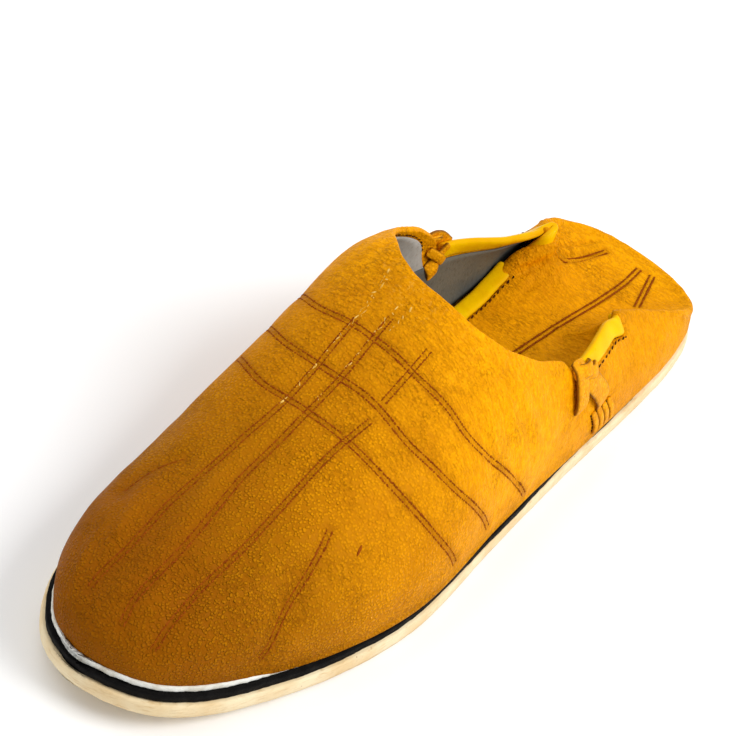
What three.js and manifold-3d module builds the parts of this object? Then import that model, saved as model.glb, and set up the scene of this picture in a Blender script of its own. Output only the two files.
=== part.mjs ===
// Babouche slipper, left foot, heel trodden flat. Millimetres, +Z up.
// The toe points to -Y, the lateral side to +X, and the sole stands on z = 0.
// "Station" is the distance along the shoe from the back of the heel.
import * as THREE from "three";
import { mergeVertices } from "three/addons/utils/BufferGeometryUtils.js";
import Module from "manifold-3d";

const wasm = await Module();
wasm.setup();

// ---- driving sizes -------------------------------------------------------
const SOLE_LENGTH = 280;
const OUTSOLE_THICK = 5.6;
const MIDSOLE_THICK = 2.6;
const WELT_THICK = 2.0;
const INSOLE_THICK = 1.8;
const GAP = 0.3;
const LEATHER = 1.8;
const TOE_SPRING = 8.0;
const SPRING_START = 196;
const MIDSOLE_INSET = 1.0;
const BINDING_WIDTH = 6.5;
const BINDING_THICK = 2.8;
const STRAP_LIFT = 1.65;
const STRAP_THICK = 1.5;
// The x in these tables that lies in the middle of the finished part's box.
const MIDDLE_X = 6.5;

// The sole's edge: x of the lateral and of the medial side at each station.
const SOLE_EDGE = [
  { station: 0, lateral: 0.9, medial: 0.9 },
  { station: 2.2, lateral: 19.2, medial: -17.0 },
  { station: 9, lateral: 30.6, medial: -28.2 },
  { station: 25, lateral: 36.4, medial: -33.4 },
  { station: 60, lateral: 40.3, medial: -30.9 },
  { station: 100, lateral: 43.0, medial: -28.9 },
  { station: 140, lateral: 46.9, medial: -33.5 },
  { station: 185, lateral: 51.6, medial: -37.4 },
  { station: 215, lateral: 47.7, medial: -37.8 },
  { station: 240, lateral: 40.6, medial: -35.4 },
  { station: 258, lateral: 33.4, medial: -29.5 },
  { station: 270, lateral: 24.6, medial: -21.2 },
  { station: 277, lateral: 13.4, medial: -12.5 },
  { station: 280, lateral: -0.1, medial: -0.1 },
];

// How far the upper's foot stands in from the sole's edge.
const SEAT_INSET = [
  { station: 0, inset: 1.2 },
  { station: 30, inset: 0.8 },
  { station: 150, inset: 0.8 },
  { station: 200, inset: 1.6 },
  { station: 250, inset: 3.0 },
  { station: 280, inset: 3.2 },
];

// The section of the upper at each station: crest height over the seat, crest x,
// the roundness of each flank (2 is a circle), and how far each flank swells out.
const SECTION = [
  { station: 0, rise: 20, crest: 0, latRound: 2.0, medRound: 2.0, latSwell: 0, medSwell: 0 },
  { station: 15, rise: 24, crest: 0, latRound: 2.0, medRound: 2.0, latSwell: 0, medSwell: 0 },
  { station: 35, rise: 25, crest: 0, latRound: 2.0, medRound: 2.0, latSwell: 0, medSwell: 0 },
  { station: 55, rise: 31, crest: -2, latRound: 2.0, medRound: 2.1, latSwell: 0, medSwell: 2 },
  { station: 80, rise: 46, crest: -6, latRound: 2.0, medRound: 2.3, latSwell: 0, medSwell: 7 },
  { station: 105, rise: 61, crest: -6, latRound: 2.0, medRound: 2.5, latSwell: 0, medSwell: 10 },
  { station: 130, rise: 67, crest: -3, latRound: 2.0, medRound: 2.6, latSwell: 1, medSwell: 11 },
  { station: 155, rise: 58, crest: -1, latRound: 2.1, medRound: 2.6, latSwell: 1, medSwell: 9 },
  { station: 185, rise: 45, crest: -1, latRound: 2.2, medRound: 2.5, latSwell: 0, medSwell: 6 },
  { station: 215, rise: 35, crest: 0, latRound: 2.3, medRound: 2.4, latSwell: 1, medSwell: 4 },
  { station: 245, rise: 29, crest: 0, latRound: 2.4, medRound: 2.3, latSwell: 1, medSwell: 3 },
  { station: 277, rise: 25, crest: 0, latRound: 2.4, medRound: 2.3, latSwell: 1, medSwell: 2 },
];
const TOE_CAP_START = 225;
const TOE_CAP_ROUND = 2.4;

// The collar: the vamp begins at this station on each line round the section,
// which runs from 0 degrees at the lateral seat over the crest to 180 at the medial.
const COLLAR = [
  { angle: 0, station: 80 },
  { angle: 9, station: 88 },
  { angle: 18, station: 96 },
  { angle: 28, station: 97.5 },
  { angle: 37, station: 102 },
  { angle: 43, station: 116 },
  { angle: 50, station: 126 },
  { angle: 56, station: 132 },
  { angle: 71, station: 138 },
  { angle: 88, station: 139 },
  { angle: 100, station: 135.5 },
  { angle: 108, station: 130 },
  { angle: 116, station: 124 },
  { angle: 124, station: 114 },
  { angle: 132, station: 99 },
  { angle: 140, station: 90 },
  { angle: 150, station: 87 },
  { angle: 165, station: 82 },
  { angle: 180, station: 78 },
];

// The quarter's wall: height of its top over the seat on each side. Behind the
// bends the top is the crease of the trodden heel, before them it is the topline.
const WALL_TOP = [
  { station: 0, lateral: 4.6, medial: 4.6 },
  { station: 9, lateral: 5.2, medial: 5.6 },
  { station: 15, lateral: 7.5, medial: 8.5 },
  { station: 25, lateral: 12.5, medial: 13 },
  { station: 36, lateral: 17, medial: 19.5 },
  { station: 45, lateral: 20.5, medial: 22 },
  { station: 55, lateral: 24.5, medial: 24.5 },
  { station: 67, lateral: 28.5, medial: 27.5 },
  { station: 86, lateral: 30.4, medial: 32 },
  { station: 103, lateral: 32, medial: 34 },
];
const WALL_END = 103;
const LATERAL_BEND = 55;
const MEDIAL_BEND = 36;
const BINDING_END = { lateral: 92, medial: 86.5 };

// The binding on the free edges of the turned-in heel: x and height over the seat of its
// middle, and its tilt in degrees, from standing on edge (0) to lying flat (90).
const FLAP_LATERAL = [
  { station: 57, x: 19.8, height: 18.0, tilt: 10 },
  { station: 61, x: 21.0, height: 13.0, tilt: 30 },
  { station: 67, x: 22.5, height: 8.0, tilt: 60 },
  { station: 74, x: 23.0, height: 4.8, tilt: 90 },
  { station: 80, x: 22.5, height: 3.8, tilt: 90 },
  { station: 89, x: 20.0, height: 3.6, tilt: 90 },
  { station: 96, x: 14.0, height: 3.6, tilt: 90 },
  { station: 101, x: 5.0, height: 3.6, tilt: 90 },
];
const FLAP_MEDIAL = [
  { station: 38, x: -18.5, height: 17.0, tilt: 10 },
  { station: 43, x: -22.0, height: 12.0, tilt: 40 },
  { station: 49, x: -24.0, height: 7.5, tilt: 70 },
  { station: 57, x: -23.6, height: 4.8, tilt: 90 },
  { station: 68, x: -22.2, height: 3.6, tilt: 90 },
  { station: 80, x: -21.0, height: 3.6, tilt: 90 },
  { station: 89, x: -19.0, height: 3.6, tilt: 90 },
  { station: 96, x: -13.5, height: 3.6, tilt: 90 },
  { station: 101, x: -5.0, height: 3.6, tilt: 90 },
];
const FLAP_FLOOR = 4.5;
const FLAP_SLOPE_WIDTH = 20;
const CREASE_RADIUS = 1.5;
const BEND_DEPTH = 3;

// The knots: each strap's width and its path as station and height over the seat.
const STRAPS = {
  strap_lateral: { side: "lateral", width: 7.5, path: [[97, 15.5], [97, 21], [96.5, 27], [95.5, 33]] },
  strap_medial: { side: "medial", width: 7.5, path: [[89, 16], [90.5, 22], [90.5, 29], [90, 35]] },
  tie_lateral: { side: "lateral", width: 4.5, path: [[90, 31], [87, 27], [83, 21.5]] },
  tie_medial: { side: "medial", width: 4.5, path: [[84, 33.5], [80.5, 29], [76, 23.5]] },
};

// ---- helpers -------------------------------------------------------------
const clamp = (v, low, high) => Math.min(high, Math.max(low, v));

// A smooth curve with no overshoot through one column of a table.
function column(rows, name, at, key = "station") {
  const n = rows.length;
  const x = clamp(at, rows[0][key], rows[n - 1][key]);
  let i = 0;
  while (i < n - 2 && x > rows[i + 1][key]) i += 1;
  const step = (j) => rows[j + 1][key] - rows[j][key];
  const rate = (j) => (rows[j + 1][name] - rows[j][name]) / step(j);
  const slope = (j) => {
    if (j === 0) return rate(0);
    if (j === n - 1) return rate(n - 2);
    const a = rate(j - 1);
    const b = rate(j);
    return a * b <= 0 ? 0 : (2 * a * b) / (a + b);
  };
  const h = step(i);
  const t = (x - rows[i][key]) / h;
  const t2 = t * t;
  const t3 = t2 * t;
  return (
    (2 * t3 - 3 * t2 + 1) * rows[i][name] +
    (t3 - 2 * t2 + t) * h * slope(i) +
    (3 * t2 - 2 * t3) * rows[i + 1][name] +
    (t3 - t2) * h * slope(i + 1)
  );
}

// A grid of points, skinned on both faces and closed round its border.
// outer and inner are arrays of rows of Vector3 of the same size.
function sheetSolid(outer, inner) {
  const rows = outer.length;
  const cols = outer[0].length;
  const points = [...outer.flat(), ...inner.flat()];
  const half = rows * cols;
  const faces = [];
  const quad = (a, b, c, d) => faces.push(a, b, c, a, c, d);
  for (let i = 0; i < rows - 1; i += 1) {
    for (let j = 0; j < cols - 1; j += 1) {
      const k = i * cols + j;
      quad(k, k + cols, k + cols + 1, k + 1);
      quad(half + k, half + k + 1, half + k + cols + 1, half + k + cols);
    }
  }
  for (let i = 0; i < rows - 1; i += 1) {
    const first = i * cols;
    const last = first + cols - 1;
    quad(first, half + first, half + first + cols, first + cols);
    quad(last, last + cols, half + last + cols, half + last);
  }
  for (let j = 0; j < cols - 1; j += 1) {
    const top = (rows - 1) * cols + j;
    quad(j, j + 1, half + j + 1, half + j);
    quad(top, half + top, half + top + 1, top + 1);
  }
  return solidFrom(points, faces);
}

// A manifold solid from points and triangle indices, turned to face outwards.
function solidFrom(points, faces) {
  const geometry = new THREE.BufferGeometry().setFromPoints(points);
  geometry.setIndex(faces);
  const merged = mergeVertices(geometry, 1e-3);
  const index = merged.index.array;
  const kept = [];
  for (let i = 0; i < index.length; i += 3) {
    const [a, b, c] = [index[i], index[i + 1], index[i + 2]];
    if (a !== b && b !== c && c !== a) kept.push(a, b, c);
  }
  const build = (triangles) =>
    new wasm.Manifold(
      new wasm.Mesh({
        numProp: 3,
        vertProperties: Float32Array.from(merged.attributes.position.array),
        triVerts: Uint32Array.from(triangles),
      }),
    );
  const solid = build(kept);
  if (solid.volume() > 0) return solid;
  const turned = [];
  for (let i = 0; i < kept.length; i += 3) turned.push(kept[i], kept[i + 2], kept[i + 1]);
  return build(turned);
}

// A tube of oval section along a list of frames { at, wide, thin }: wide and thin are
// the section's half axes as vectors.
function beadSolid(frames, around = 10) {
  const points = frames.flatMap(({ at, wide, thin }) =>
    Array.from({ length: around }, (_, k) => {
      const turn = (2 * Math.PI * k) / around;
      return at.clone().addScaledVector(wide, Math.cos(turn)).addScaledVector(thin, Math.sin(turn));
    }),
  );
  const faces = [];
  const last = frames.length - 1;
  for (let i = 0; i < last; i += 1) {
    for (let k = 0; k < around; k += 1) {
      const a = i * around + k;
      const b = i * around + ((k + 1) % around);
      faces.push(a, b, b + around, a, b + around, a + around);
    }
  }
  for (let k = 1; k < around - 1; k += 1) {
    faces.push(0, k + 1, k);
    faces.push(last * around, last * around + k, last * around + k + 1);
  }
  return solidFrom(points, faces);
}

// ---- the last --------------------------------------------------------------
// A closed centripetal curve through the sole's edge, lateral side first.
function soleRing(perSpan) {
  const inner = SOLE_EDGE.slice(1, -1).reverse();
  const knots = [
    ...SOLE_EDGE.map((r) => new THREE.Vector2(r.lateral, r.station)),
    ...inner.map((r) => new THREE.Vector2(r.medial, r.station)),
  ];
  const ring = [];
  const count = knots.length;
  for (let i = 0; i < count; i += 1) {
    const [a, b, c, d] = [-1, 0, 1, 2].map((k) => knots[(i + k + count) % count]);
    const [u, v, w] = [
      [a, b],
      [b, c],
      [c, d],
    ].map(([p, q]) => Math.sqrt(p.distanceTo(q)));
    const tangent = (p, q, r, e, f) =>
      q.clone().sub(p).divideScalar(e)
        .sub(r.clone().sub(p).divideScalar(e + f))
        .add(r.clone().sub(q).divideScalar(f))
        .multiplyScalar(v);
    const m1 = tangent(a, b, c, u, v);
    const m2 = tangent(b, c, d, v, w);
    for (let k = 0; k < perSpan; k += 1) {
      const t = k / perSpan;
      const t2 = t * t;
      const t3 = t2 * t;
      ring.push(
        b.clone().multiplyScalar(2 * t3 - 3 * t2 + 1)
          .addScaledVector(m1, t3 - 2 * t2 + t)
          .addScaledVector(c, 3 * t2 - 2 * t3)
          .addScaledVector(m2, t3 - t2),
      );
    }
  }
  return ring;
}

// The ring moved inwards, by a distance that may change along the shoe.
function insetRing(ring, distance) {
  const n = ring.length;
  return ring.map((p, i) => {
    const along = ring[(i + 1) % n].clone().sub(ring[(i + n - 1) % n]).normalize();
    return p.clone().addScaledVector(new THREE.Vector2(-along.y, along.x), distance(p.y));
  });
}

const RING = soleRing(6);
const seatInset = (station) => column(SEAT_INSET, "inset", station);
const FINE_RING = soleRing(16);
const SEAT = insetRing(FINE_RING, seatInset);
const TOE_TIP = Math.max(...SEAT.map((p) => p.y));

// x of the seat's lateral and medial edge at a station.
function seatEdges(station) {
  const found = { lateral: 0, medial: 0 };
  const tip = SEAT.findIndex((p) => p.y === TOE_TIP);
  const n = SEAT.length;
  for (let i = 0; i < n; i += 1) {
    const p = SEAT[i];
    const q = SEAT[(i + 1) % n];
    const low = Math.min(p.y, q.y);
    const high = Math.max(p.y, q.y);
    if (station < low || station > high || high - low < 1e-9) continue;
    const x = p.x + ((q.x - p.x) * (station - p.y)) / (q.y - p.y);
    if (i < tip) found.lateral = x;
    else found.medial = x;
  }
  return found;
}

const spring = (station) =>
  TOE_SPRING * clamp((station - SPRING_START) / (SOLE_LENGTH - SPRING_START), 0, 1) ** 2;
const MIDSOLE_BASE = OUTSOLE_THICK + GAP;
const WELT_BASE = MIDSOLE_BASE + MIDSOLE_THICK + GAP;
const SEAT_BASE = WELT_BASE + WELT_THICK + GAP;
const seatHeight = (station) => SEAT_BASE + spring(station);
const place = (x, station, z) => new THREE.Vector3(x, SOLE_LENGTH / 2 - station, z);

// A point of the last's skin, moved in by a depth. Angle is in radians.
function lastPoint(station, angle, depth = 0) {
  const tip = TOE_TIP - depth;
  const s = Math.min(station, tip);
  const edges = seatEdges(clamp(s + depth * clamp((s - 200) / 60, 0, 1), 2.5, TOE_TIP - 0.02));
  const reach = clamp((s - TOE_CAP_START) / (tip - TOE_CAP_START), 0, 1);
  const cap = (1 - reach ** TOE_CAP_ROUND) ** (1 / TOE_CAP_ROUND);
  const middle = (edges.lateral + edges.medial) / 2;
  const crest = column(SECTION, "crest", s) * cap + middle * (1 - cap);
  const onLateral = angle <= Math.PI / 2;
  const side = onLateral ? "lat" : "med";
  const round = column(SECTION, side + "Round", s);
  const swell = column(SECTION, side + "Swell", s) * cap * (onLateral ? 1 : -1);
  const edge = onLateral ? edges.lateral - depth : edges.medial + depth;
  const flank = onLateral ? angle : Math.PI - angle;
  const out = Math.abs(Math.cos(flank)) ** (2 / round);
  const up = Math.abs(Math.sin(flank)) ** (2 / round);
  const rise = (column(SECTION, "rise", s) - depth) * cap;
  const x = crest + (edge - crest) * out + swell * Math.sin(2 * flank);
  return place(x, s, seatHeight(s) + rise * up);
}

// ---- sole layers -----------------------------------------------------------
// x of a closed ring's two sides at a station.
function ringSides(ring, station) {
  let lateral = -Infinity;
  let medial = Infinity;
  ring.forEach((p, i) => {
    const q = ring[(i + 1) % ring.length];
    const low = Math.min(p.y, q.y) - 1e-9;
    const high = Math.max(p.y, q.y) + 1e-9;
    if (station < low || station > high || p.y === q.y) return;
    const x = p.x + ((q.x - p.x) * (station - p.y)) / (q.y - p.y);
    lateral = Math.max(lateral, x);
    medial = Math.min(medial, x);
  });
  return { lateral, medial };
}

// A layer of even thickness on a height, inside a ring, that follows the toe spring.
function layerSolid(ring, base, thick) {
  const steps = 30;
  const back = Math.min(...ring.map((p) => p.y));
  const front = Math.max(...ring.map((p) => p.y));
  const level = (z) =>
    Array.from({ length: steps + 1 }, (_, i) => {
      const s = back + ((front - back) * (1 - Math.cos((Math.PI * i) / steps))) / 2;
      const { lateral, medial } = ringSides(ring, s);
      return [medial, (medial + lateral) / 2, lateral].map((x) => place(x, s, z + spring(s)));
    });
  return sheetSolid(level(base + thick), level(base));
}

const midsoleRing = insetRing(RING, () => MIDSOLE_INSET);
const weltRing = insetRing(RING, (s) => 0.6 * seatInset(s) + 0.6);
const insoleRing = insetRing(RING, (s) => seatInset(s) + LEATHER + 1.2);

// ---- upper -----------------------------------------------------------------
// The vamp: one sheet from the collar to the toe, over the crest and down both sides.
function vampSolid() {
  const around = 32;
  const along = 23;
  const skin = (depth) =>
    Array.from({ length: around + 1 }, (_, i) => {
      const degrees = (180 * i) / around;
      const start = column(COLLAR, "station", degrees, "angle");
      const reach = TOE_TIP - depth - start;
      return Array.from({ length: along + 1 }, (_, j) => {
        const share = Math.sin((Math.PI / 2) * (j / along) ** 0.9);
        return lastPoint(start + reach * share, THREE.MathUtils.degToRad(degrees), depth);
      });
    });
  return sheetSolid(skin(0), skin(LEATHER));
}

// How far the quarter's wall leans in, at a height over the seat.
function leanAt(side, station, height) {
  const name = side === "lateral" ? "lat" : "med";
  const s = Math.max(station, 15);
  const { [side]: edge } = seatEdges(s);
  const reach = Math.abs(edge - column(SECTION, "crest", s));
  const round = column(SECTION, name + "Round", s);
  const share = clamp(height / column(SECTION, "rise", s), 0, 1);
  const flank = Math.asin(share ** (round / 2));
  const swell = column(SECTION, name + "Swell", s) * Math.sin(2 * flank);
  return reach * (1 - Math.cos(flank) ** (2 / round)) - swell;
}

const wallTop = (side, station) => column(WALL_TOP, side, station);
const bendOf = (side) => (side === "lateral" ? LATERAL_BEND : MEDIAL_BEND);

// Points along the foot of the wall, from the medial end round the heel to the lateral
// end, each with its side and the direction inwards.
const WALL_PATH = (() => {
  const n = SEAT.length;
  const path = [];
  for (let k = -80; k <= 80; k += 4) {
    const i = (k + n) % n;
    const along = SEAT[(i + 1) % n].clone().sub(SEAT[(i + n - 1) % n]).normalize();
    const inward = new THREE.Vector3(-along.y, -along.x, 0);
    const side = k < 0 ? "medial" : "lateral";
    if (SEAT[i].y <= WALL_END) path.push({ foot: SEAT[i], inward, side });
  }
  return path;
})();

// A point of the wall's outer face at a height, moved in by a depth.
function wallPoint({ foot, inward, side }, height, depth = 0) {
  const lean = leanAt(side, foot.y, height) + depth;
  return place(foot.x, foot.y, seatHeight(foot.y) + height).addScaledVector(inward, lean);
}

// Where the leather of the wall stops: lower by the binding's width along the topline.
function leatherTop({ foot, side }) {
  const bound = foot.y > bendOf(side) + 1 && foot.y < BINDING_END[side] + 1;
  return wallTop(side, foot.y) - (bound ? BINDING_WIDTH + GAP : 0);
}

function wallSolid() {
  const steps = 6;
  const skin = (depth) =>
    WALL_PATH.map((spot) =>
      Array.from({ length: steps + 1 }, (_, j) =>
        wallPoint(spot, (leatherTop(spot) * j) / steps, depth),
      ),
    );
  return sheetSolid(skin(0.15), skin(LEATHER + 0.15));
}

// The crease where the trodden heel turns in, as points from the medial to the lateral bend.
const CREASE = WALL_PATH.filter(({ foot, side }) => foot.y <= bendOf(side) + 1).map((spot) =>
  wallPoint(spot, wallTop(spot.side, spot.foot.y) - CREASE_RADIUS + 0.3, LEATHER / 2 + 0.3),
);

function creaseSolid() {
  const frames = CREASE.map((at, i) => {
    const next = CREASE[Math.min(i + 1, CREASE.length - 1)];
    const last = CREASE[Math.max(i - 1, 0)];
    const along = next.clone().sub(last).normalize();
    const wide = new THREE.Vector3(0, 0, 1).cross(along).normalize();
    const thin = along.clone().cross(wide).normalize();
    return {
      at,
      wide: wide.multiplyScalar(CREASE_RADIUS),
      thin: thin.multiplyScalar(CREASE_RADIUS),
    };
  });
  return beadSolid(frames, 8);
}

// Station past which the flap's edge turns in to its rounded front.
const FLAP_TURN = 78;

// The binding's middle line on a free edge of the flap, and the way into the leather.
function flapBinding(side, station) {
  const rows = side === "lateral" ? FLAP_LATERAL : FLAP_MEDIAL;
  const tilt = THREE.MathUtils.degToRad(column(rows, "tilt", station));
  const x = column(rows, "x", station);
  const inward = new THREE.Vector3(-x, Math.max(station - FLAP_TURN, 0), 0).normalize();
  return {
    at: place(x, station, SEAT_BASE + column(rows, "height", station)),
    into: inward.multiplyScalar(Math.sin(tilt)).setZ(-Math.cos(tilt)),
  };
}

// Where the flap's leather ends on one side: on the crease behind the bend, beside the
// binding before it.
function flapEdge(side, station) {
  if (station >= bendOf(side) + 2) {
    const { at, into } = flapBinding(side, station);
    const edge = at.addScaledVector(into, BINDING_WIDTH / 2 + GAP);
    return { x: edge.x, height: edge.z - SEAT_BASE + LEATHER / 2 };
  }
  const middle = CREASE.reduce((best, p, i) => (p.y > CREASE[best].y ? i : best), 0);
  const line = side === "lateral" ? CREASE.slice(middle) : CREASE.slice(0, middle + 1).reverse();
  const y = SOLE_LENGTH / 2 - station;
  let i = 0;
  while (i < line.length - 2 && line[i + 1].y > y) i += 1;
  const t = clamp((line[i].y - y) / (line[i].y - line[i + 1].y), 0, 1);
  const at = line[i].clone().lerp(line[i + 1], t);
  return { x: at.x, height: at.z - SEAT_BASE + CREASE_RADIUS - 0.5 };
}

// The flap's upper face at a station, share 0 at the lateral edge and 1 at the medial.
function flapPoint(station, share) {
  const lateral = flapEdge("lateral", station);
  const medial = flapEdge("medial", station);
  const x = THREE.MathUtils.lerp(lateral.x, medial.x, share);
  const climb = (edge) => {
    const away = clamp(Math.abs(x - edge.x) / FLAP_SLOPE_WIDTH, 0, 1);
    return Math.max(edge.height - FLAP_FLOOR, 0) * (1 - away) ** 2;
  };
  return place(x, station, SEAT_BASE + FLAP_FLOOR + climb(lateral) + climb(medial));
}

// A grid moved along its own normals by a depth, against the given direction.
function sunkGrid(grid, depth, up) {
  const last = { row: grid.length - 1, col: grid[0].length - 1 };
  return grid.map((row, i) =>
    row.map((p, j) => {
      const down = grid[Math.min(i + 1, last.row)][j];
      const above = grid[Math.max(i - 1, 0)][j];
      const normal = down.clone().sub(above)
        .cross(row[Math.min(j + 1, last.col)].clone().sub(row[Math.max(j - 1, 0)]))
        .normalize();
      if (normal.dot(up) < 0) normal.negate();
      return p.clone().addScaledVector(normal, -depth);
    }),
  );
}

function flapSolid() {
  const rows = 22;
  const cols = 12;
  const back = SOLE_LENGTH / 2 - Math.max(...CREASE.map((p) => p.y)) + 0.4;
  const front = FLAP_LATERAL.at(-1).station - BINDING_WIDTH / 2 - GAP;
  const top = Array.from({ length: rows + 1 }, (_, i) => {
    const s = back + (front - back) * (i / rows) ** 1.4;
    return Array.from({ length: cols + 1 }, (_, j) => flapPoint(s, j / cols));
  });
  return sheetSolid(top, sunkGrid(top, LEATHER, new THREE.Vector3(0, 0, 1)));
}

// ---- binding ---------------------------------------------------------------
// Points of the binding's middle line on one side, from the knot to the flap's front,
// each with the way into the leather.
function bindingSide(side) {
  const spots = WALL_PATH.filter(
    ({ foot, side: on }) => on === side && foot.y >= bendOf(side) + 2 && foot.y <= BINDING_END[side],
  ).sort((p, q) => q.foot.y - p.foot.y);
  const onWall = spots.map((spot) => {
    const height = wallTop(side, spot.foot.y) - BINDING_WIDTH / 2;
    const at = wallPoint(spot, height, LEATHER / 2);
    const into = wallPoint(spot, height - 1, LEATHER / 2).sub(at).normalize();
    return { at, into };
  });
  const rows = side === "lateral" ? FLAP_LATERAL : FLAP_MEDIAL;
  const onFlap = [];
  for (let s = rows[0].station; s <= rows.at(-1).station; s += 3) {
    onFlap.push(flapBinding(side, s));
  }
  const from = onWall.at(-1);
  const to = onFlap[0];
  const bend = [1, 2, 3, 4].map((k) => {
    const turn = (Math.PI * k) / 5;
    const at = from.at.clone().lerp(to.at, (1 - Math.cos(turn)) / 2);
    at.y += BEND_DEPTH * Math.sin(turn);
    return { at, into: from.into.clone().lerp(to.into, k / 5).normalize() };
  });
  return [...onWall, ...bend, ...onFlap];
}

// The binding, or with a growth the room it takes up.
function bindingSolid(growth = 0) {
  const line = [...bindingSide("lateral"), ...bindingSide("medial").reverse()];
  const frames = line.map(({ at, into }, i) => {
    const next = line[Math.min(i + 1, line.length - 1)].at;
    const last = line[Math.max(i - 1, 0)].at;
    const along = next.clone().sub(last).normalize();
    const thin = along.clone().cross(into).normalize();
    const wide = thin.clone().cross(along).normalize();
    return {
      at,
      wide: wide.multiplyScalar(BINDING_WIDTH / 2 + growth),
      thin: thin.multiplyScalar(BINDING_THICK / 2 + growth),
    };
  });
  return beadSolid(frames, 10);
}

// ---- knots -----------------------------------------------------------------
// A point on the vamp's flank at a height over the seat, moved out by a distance.
function flankPoint(side, station, height, out) {
  const name = side === "lateral" ? "lat" : "med";
  const share = clamp(height / column(SECTION, "rise", station), 0, 1);
  const flank = Math.asin(share ** (column(SECTION, name + "Round", station) / 2));
  const angle = (a) => (side === "lateral" ? a : Math.PI - a);
  const at = lastPoint(station, angle(flank));
  const up = lastPoint(station, angle(flank + 0.02)).sub(at);
  const fore = lastPoint(station + 1, angle(flank)).sub(at);
  const normal = up.cross(fore).normalize();
  if (normal.x * (side === "lateral" ? 1 : -1) < 0) normal.negate();
  return { at: at.addScaledVector(normal, out), normal };
}

function strapSolid({ side, width, path }) {
  const line = new THREE.CatmullRomCurve3(path.map(([s, h]) => new THREE.Vector3(s, h, 0)));
  const spots = line.getPoints(8).map((p) => flankPoint(side, p.x, p.y, STRAP_LIFT));
  const frames = spots.map(({ at, normal }, i) => {
    const next = spots[Math.min(i + 1, spots.length - 1)].at;
    const last = spots[Math.max(i - 1, 0)].at;
    const along = next.clone().sub(last).normalize();
    return {
      at,
      wide: along.clone().cross(normal).normalize().multiplyScalar(width / 2),
      thin: normal.clone().multiplyScalar(STRAP_THICK / 2),
    };
  });
  return beadSolid(frames, 10);
}

// One piece of leather, cut back to leave room for the binding, without loose scraps.
const upper = vampSolid().add(wallSolid()).add(creaseSolid()).add(flapSolid())
  .subtract(bindingSolid(GAP))
  .subtract(bindingSolid(GAP / 2))
  .decompose()
  .sort((a, b) => b.volume() - a.volume())[0];

const PIECES = [
  ["outsole", layerSolid(RING, 0, OUTSOLE_THICK), 0xe7d8be],
  ["midsole", layerSolid(midsoleRing, MIDSOLE_BASE, MIDSOLE_THICK), 0x1c1a19],
  ["welt", layerSolid(weltRing, WELT_BASE, WELT_THICK), 0xe9e7e2],
  ["insole", layerSolid(insoleRing, SEAT_BASE, INSOLE_THICK), 0x756a52],
  ["upper", upper, 0xe8a010],
  ["binding", bindingSolid(), 0xf5d000],
  ...Object.entries(STRAPS).map(([name, strap]) => [name, strapSolid(strap), 0xd98a10]),
];

const shoe = new THREE.Group();
shoe.name = "babouche";
for (const [name, solid, color] of PIECES) {
  const mesh = solid.translate([-MIDDLE_X, 0, 0]).getMesh();
  const geometry = new THREE.BufferGeometry();
  geometry.setAttribute("position", new THREE.BufferAttribute(mesh.vertProperties, 3));
  geometry.setIndex(new THREE.BufferAttribute(mesh.triVerts, 1));
  geometry.computeVertexNormals();
  const made = new THREE.Mesh(geometry, new THREE.MeshStandardMaterial({ color, roughness: 0.7 }));
  made.name = name;
  shoe.add(made);
}

export default shoe;
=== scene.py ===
"""Babouche slipper, left foot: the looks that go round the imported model.

Lengths are in millimetres until a mesh is made. A point is (x, y, z) with x to the
lateral side, the toe at -y and the floor at z = 0. A station is the distance along the
shoe from the back of the heel. An angle runs round a section of the upper, from 0
degrees at the lateral seat over the crest to 180 at the medial seat.
"""
import math

import bmesh
import bpy
import numpy as np
from mathutils import Matrix, Vector, noise
from mathutils.kdtree import KDTree


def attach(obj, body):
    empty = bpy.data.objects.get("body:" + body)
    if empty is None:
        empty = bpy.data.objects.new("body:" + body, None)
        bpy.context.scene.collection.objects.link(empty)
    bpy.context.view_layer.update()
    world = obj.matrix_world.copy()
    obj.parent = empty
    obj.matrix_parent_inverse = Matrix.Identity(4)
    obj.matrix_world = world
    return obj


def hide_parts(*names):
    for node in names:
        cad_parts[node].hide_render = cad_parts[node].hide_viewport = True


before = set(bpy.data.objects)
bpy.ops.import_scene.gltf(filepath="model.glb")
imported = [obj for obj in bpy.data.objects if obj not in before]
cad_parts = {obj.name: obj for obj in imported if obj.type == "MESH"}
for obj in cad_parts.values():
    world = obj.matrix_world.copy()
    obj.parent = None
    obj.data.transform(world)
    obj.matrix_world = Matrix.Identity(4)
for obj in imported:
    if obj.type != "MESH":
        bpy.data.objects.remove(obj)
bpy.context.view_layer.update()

# ---- sizes of the last, the same as the part's -----------------------------------
SOLE_LENGTH = 280.0
OUTSOLE_THICK = 5.6
MIDSOLE_THICK = 2.6
WELT_THICK = 2.0
INSOLE_THICK = 1.8
LEATHER = 1.8
TOE_SPRING, SPRING_START = 8.0, 196.0
MIDDLE_X = 6.5
TOE_CAP_START, TOE_CAP_ROUND = 225.0, 2.4
BINDING_WIDTH, BINDING_THICK = 6.5, 2.8
GAP = 0.3  # between curved pieces that meet
MIDSOLE_BASE = OUTSOLE_THICK + GAP
WELT_BASE = MIDSOLE_BASE + MIDSOLE_THICK + GAP
SEAT_BASE = WELT_BASE + WELT_THICK + GAP  # where the upper stands
WALL_END = 103.0
BEND = {"lateral": 55.0, "medial": 36.0}
BINDING_END = {"lateral": 92.0, "medial": 86.5}
FLAP_FLOOR, FLAP_SLOPE_WIDTH = 4.5, 20.0
FLAP_TURN = 78.0  # in front of this station the flap's binding faces the heel more and more
CREASE_RADIUS = 1.5

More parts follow.
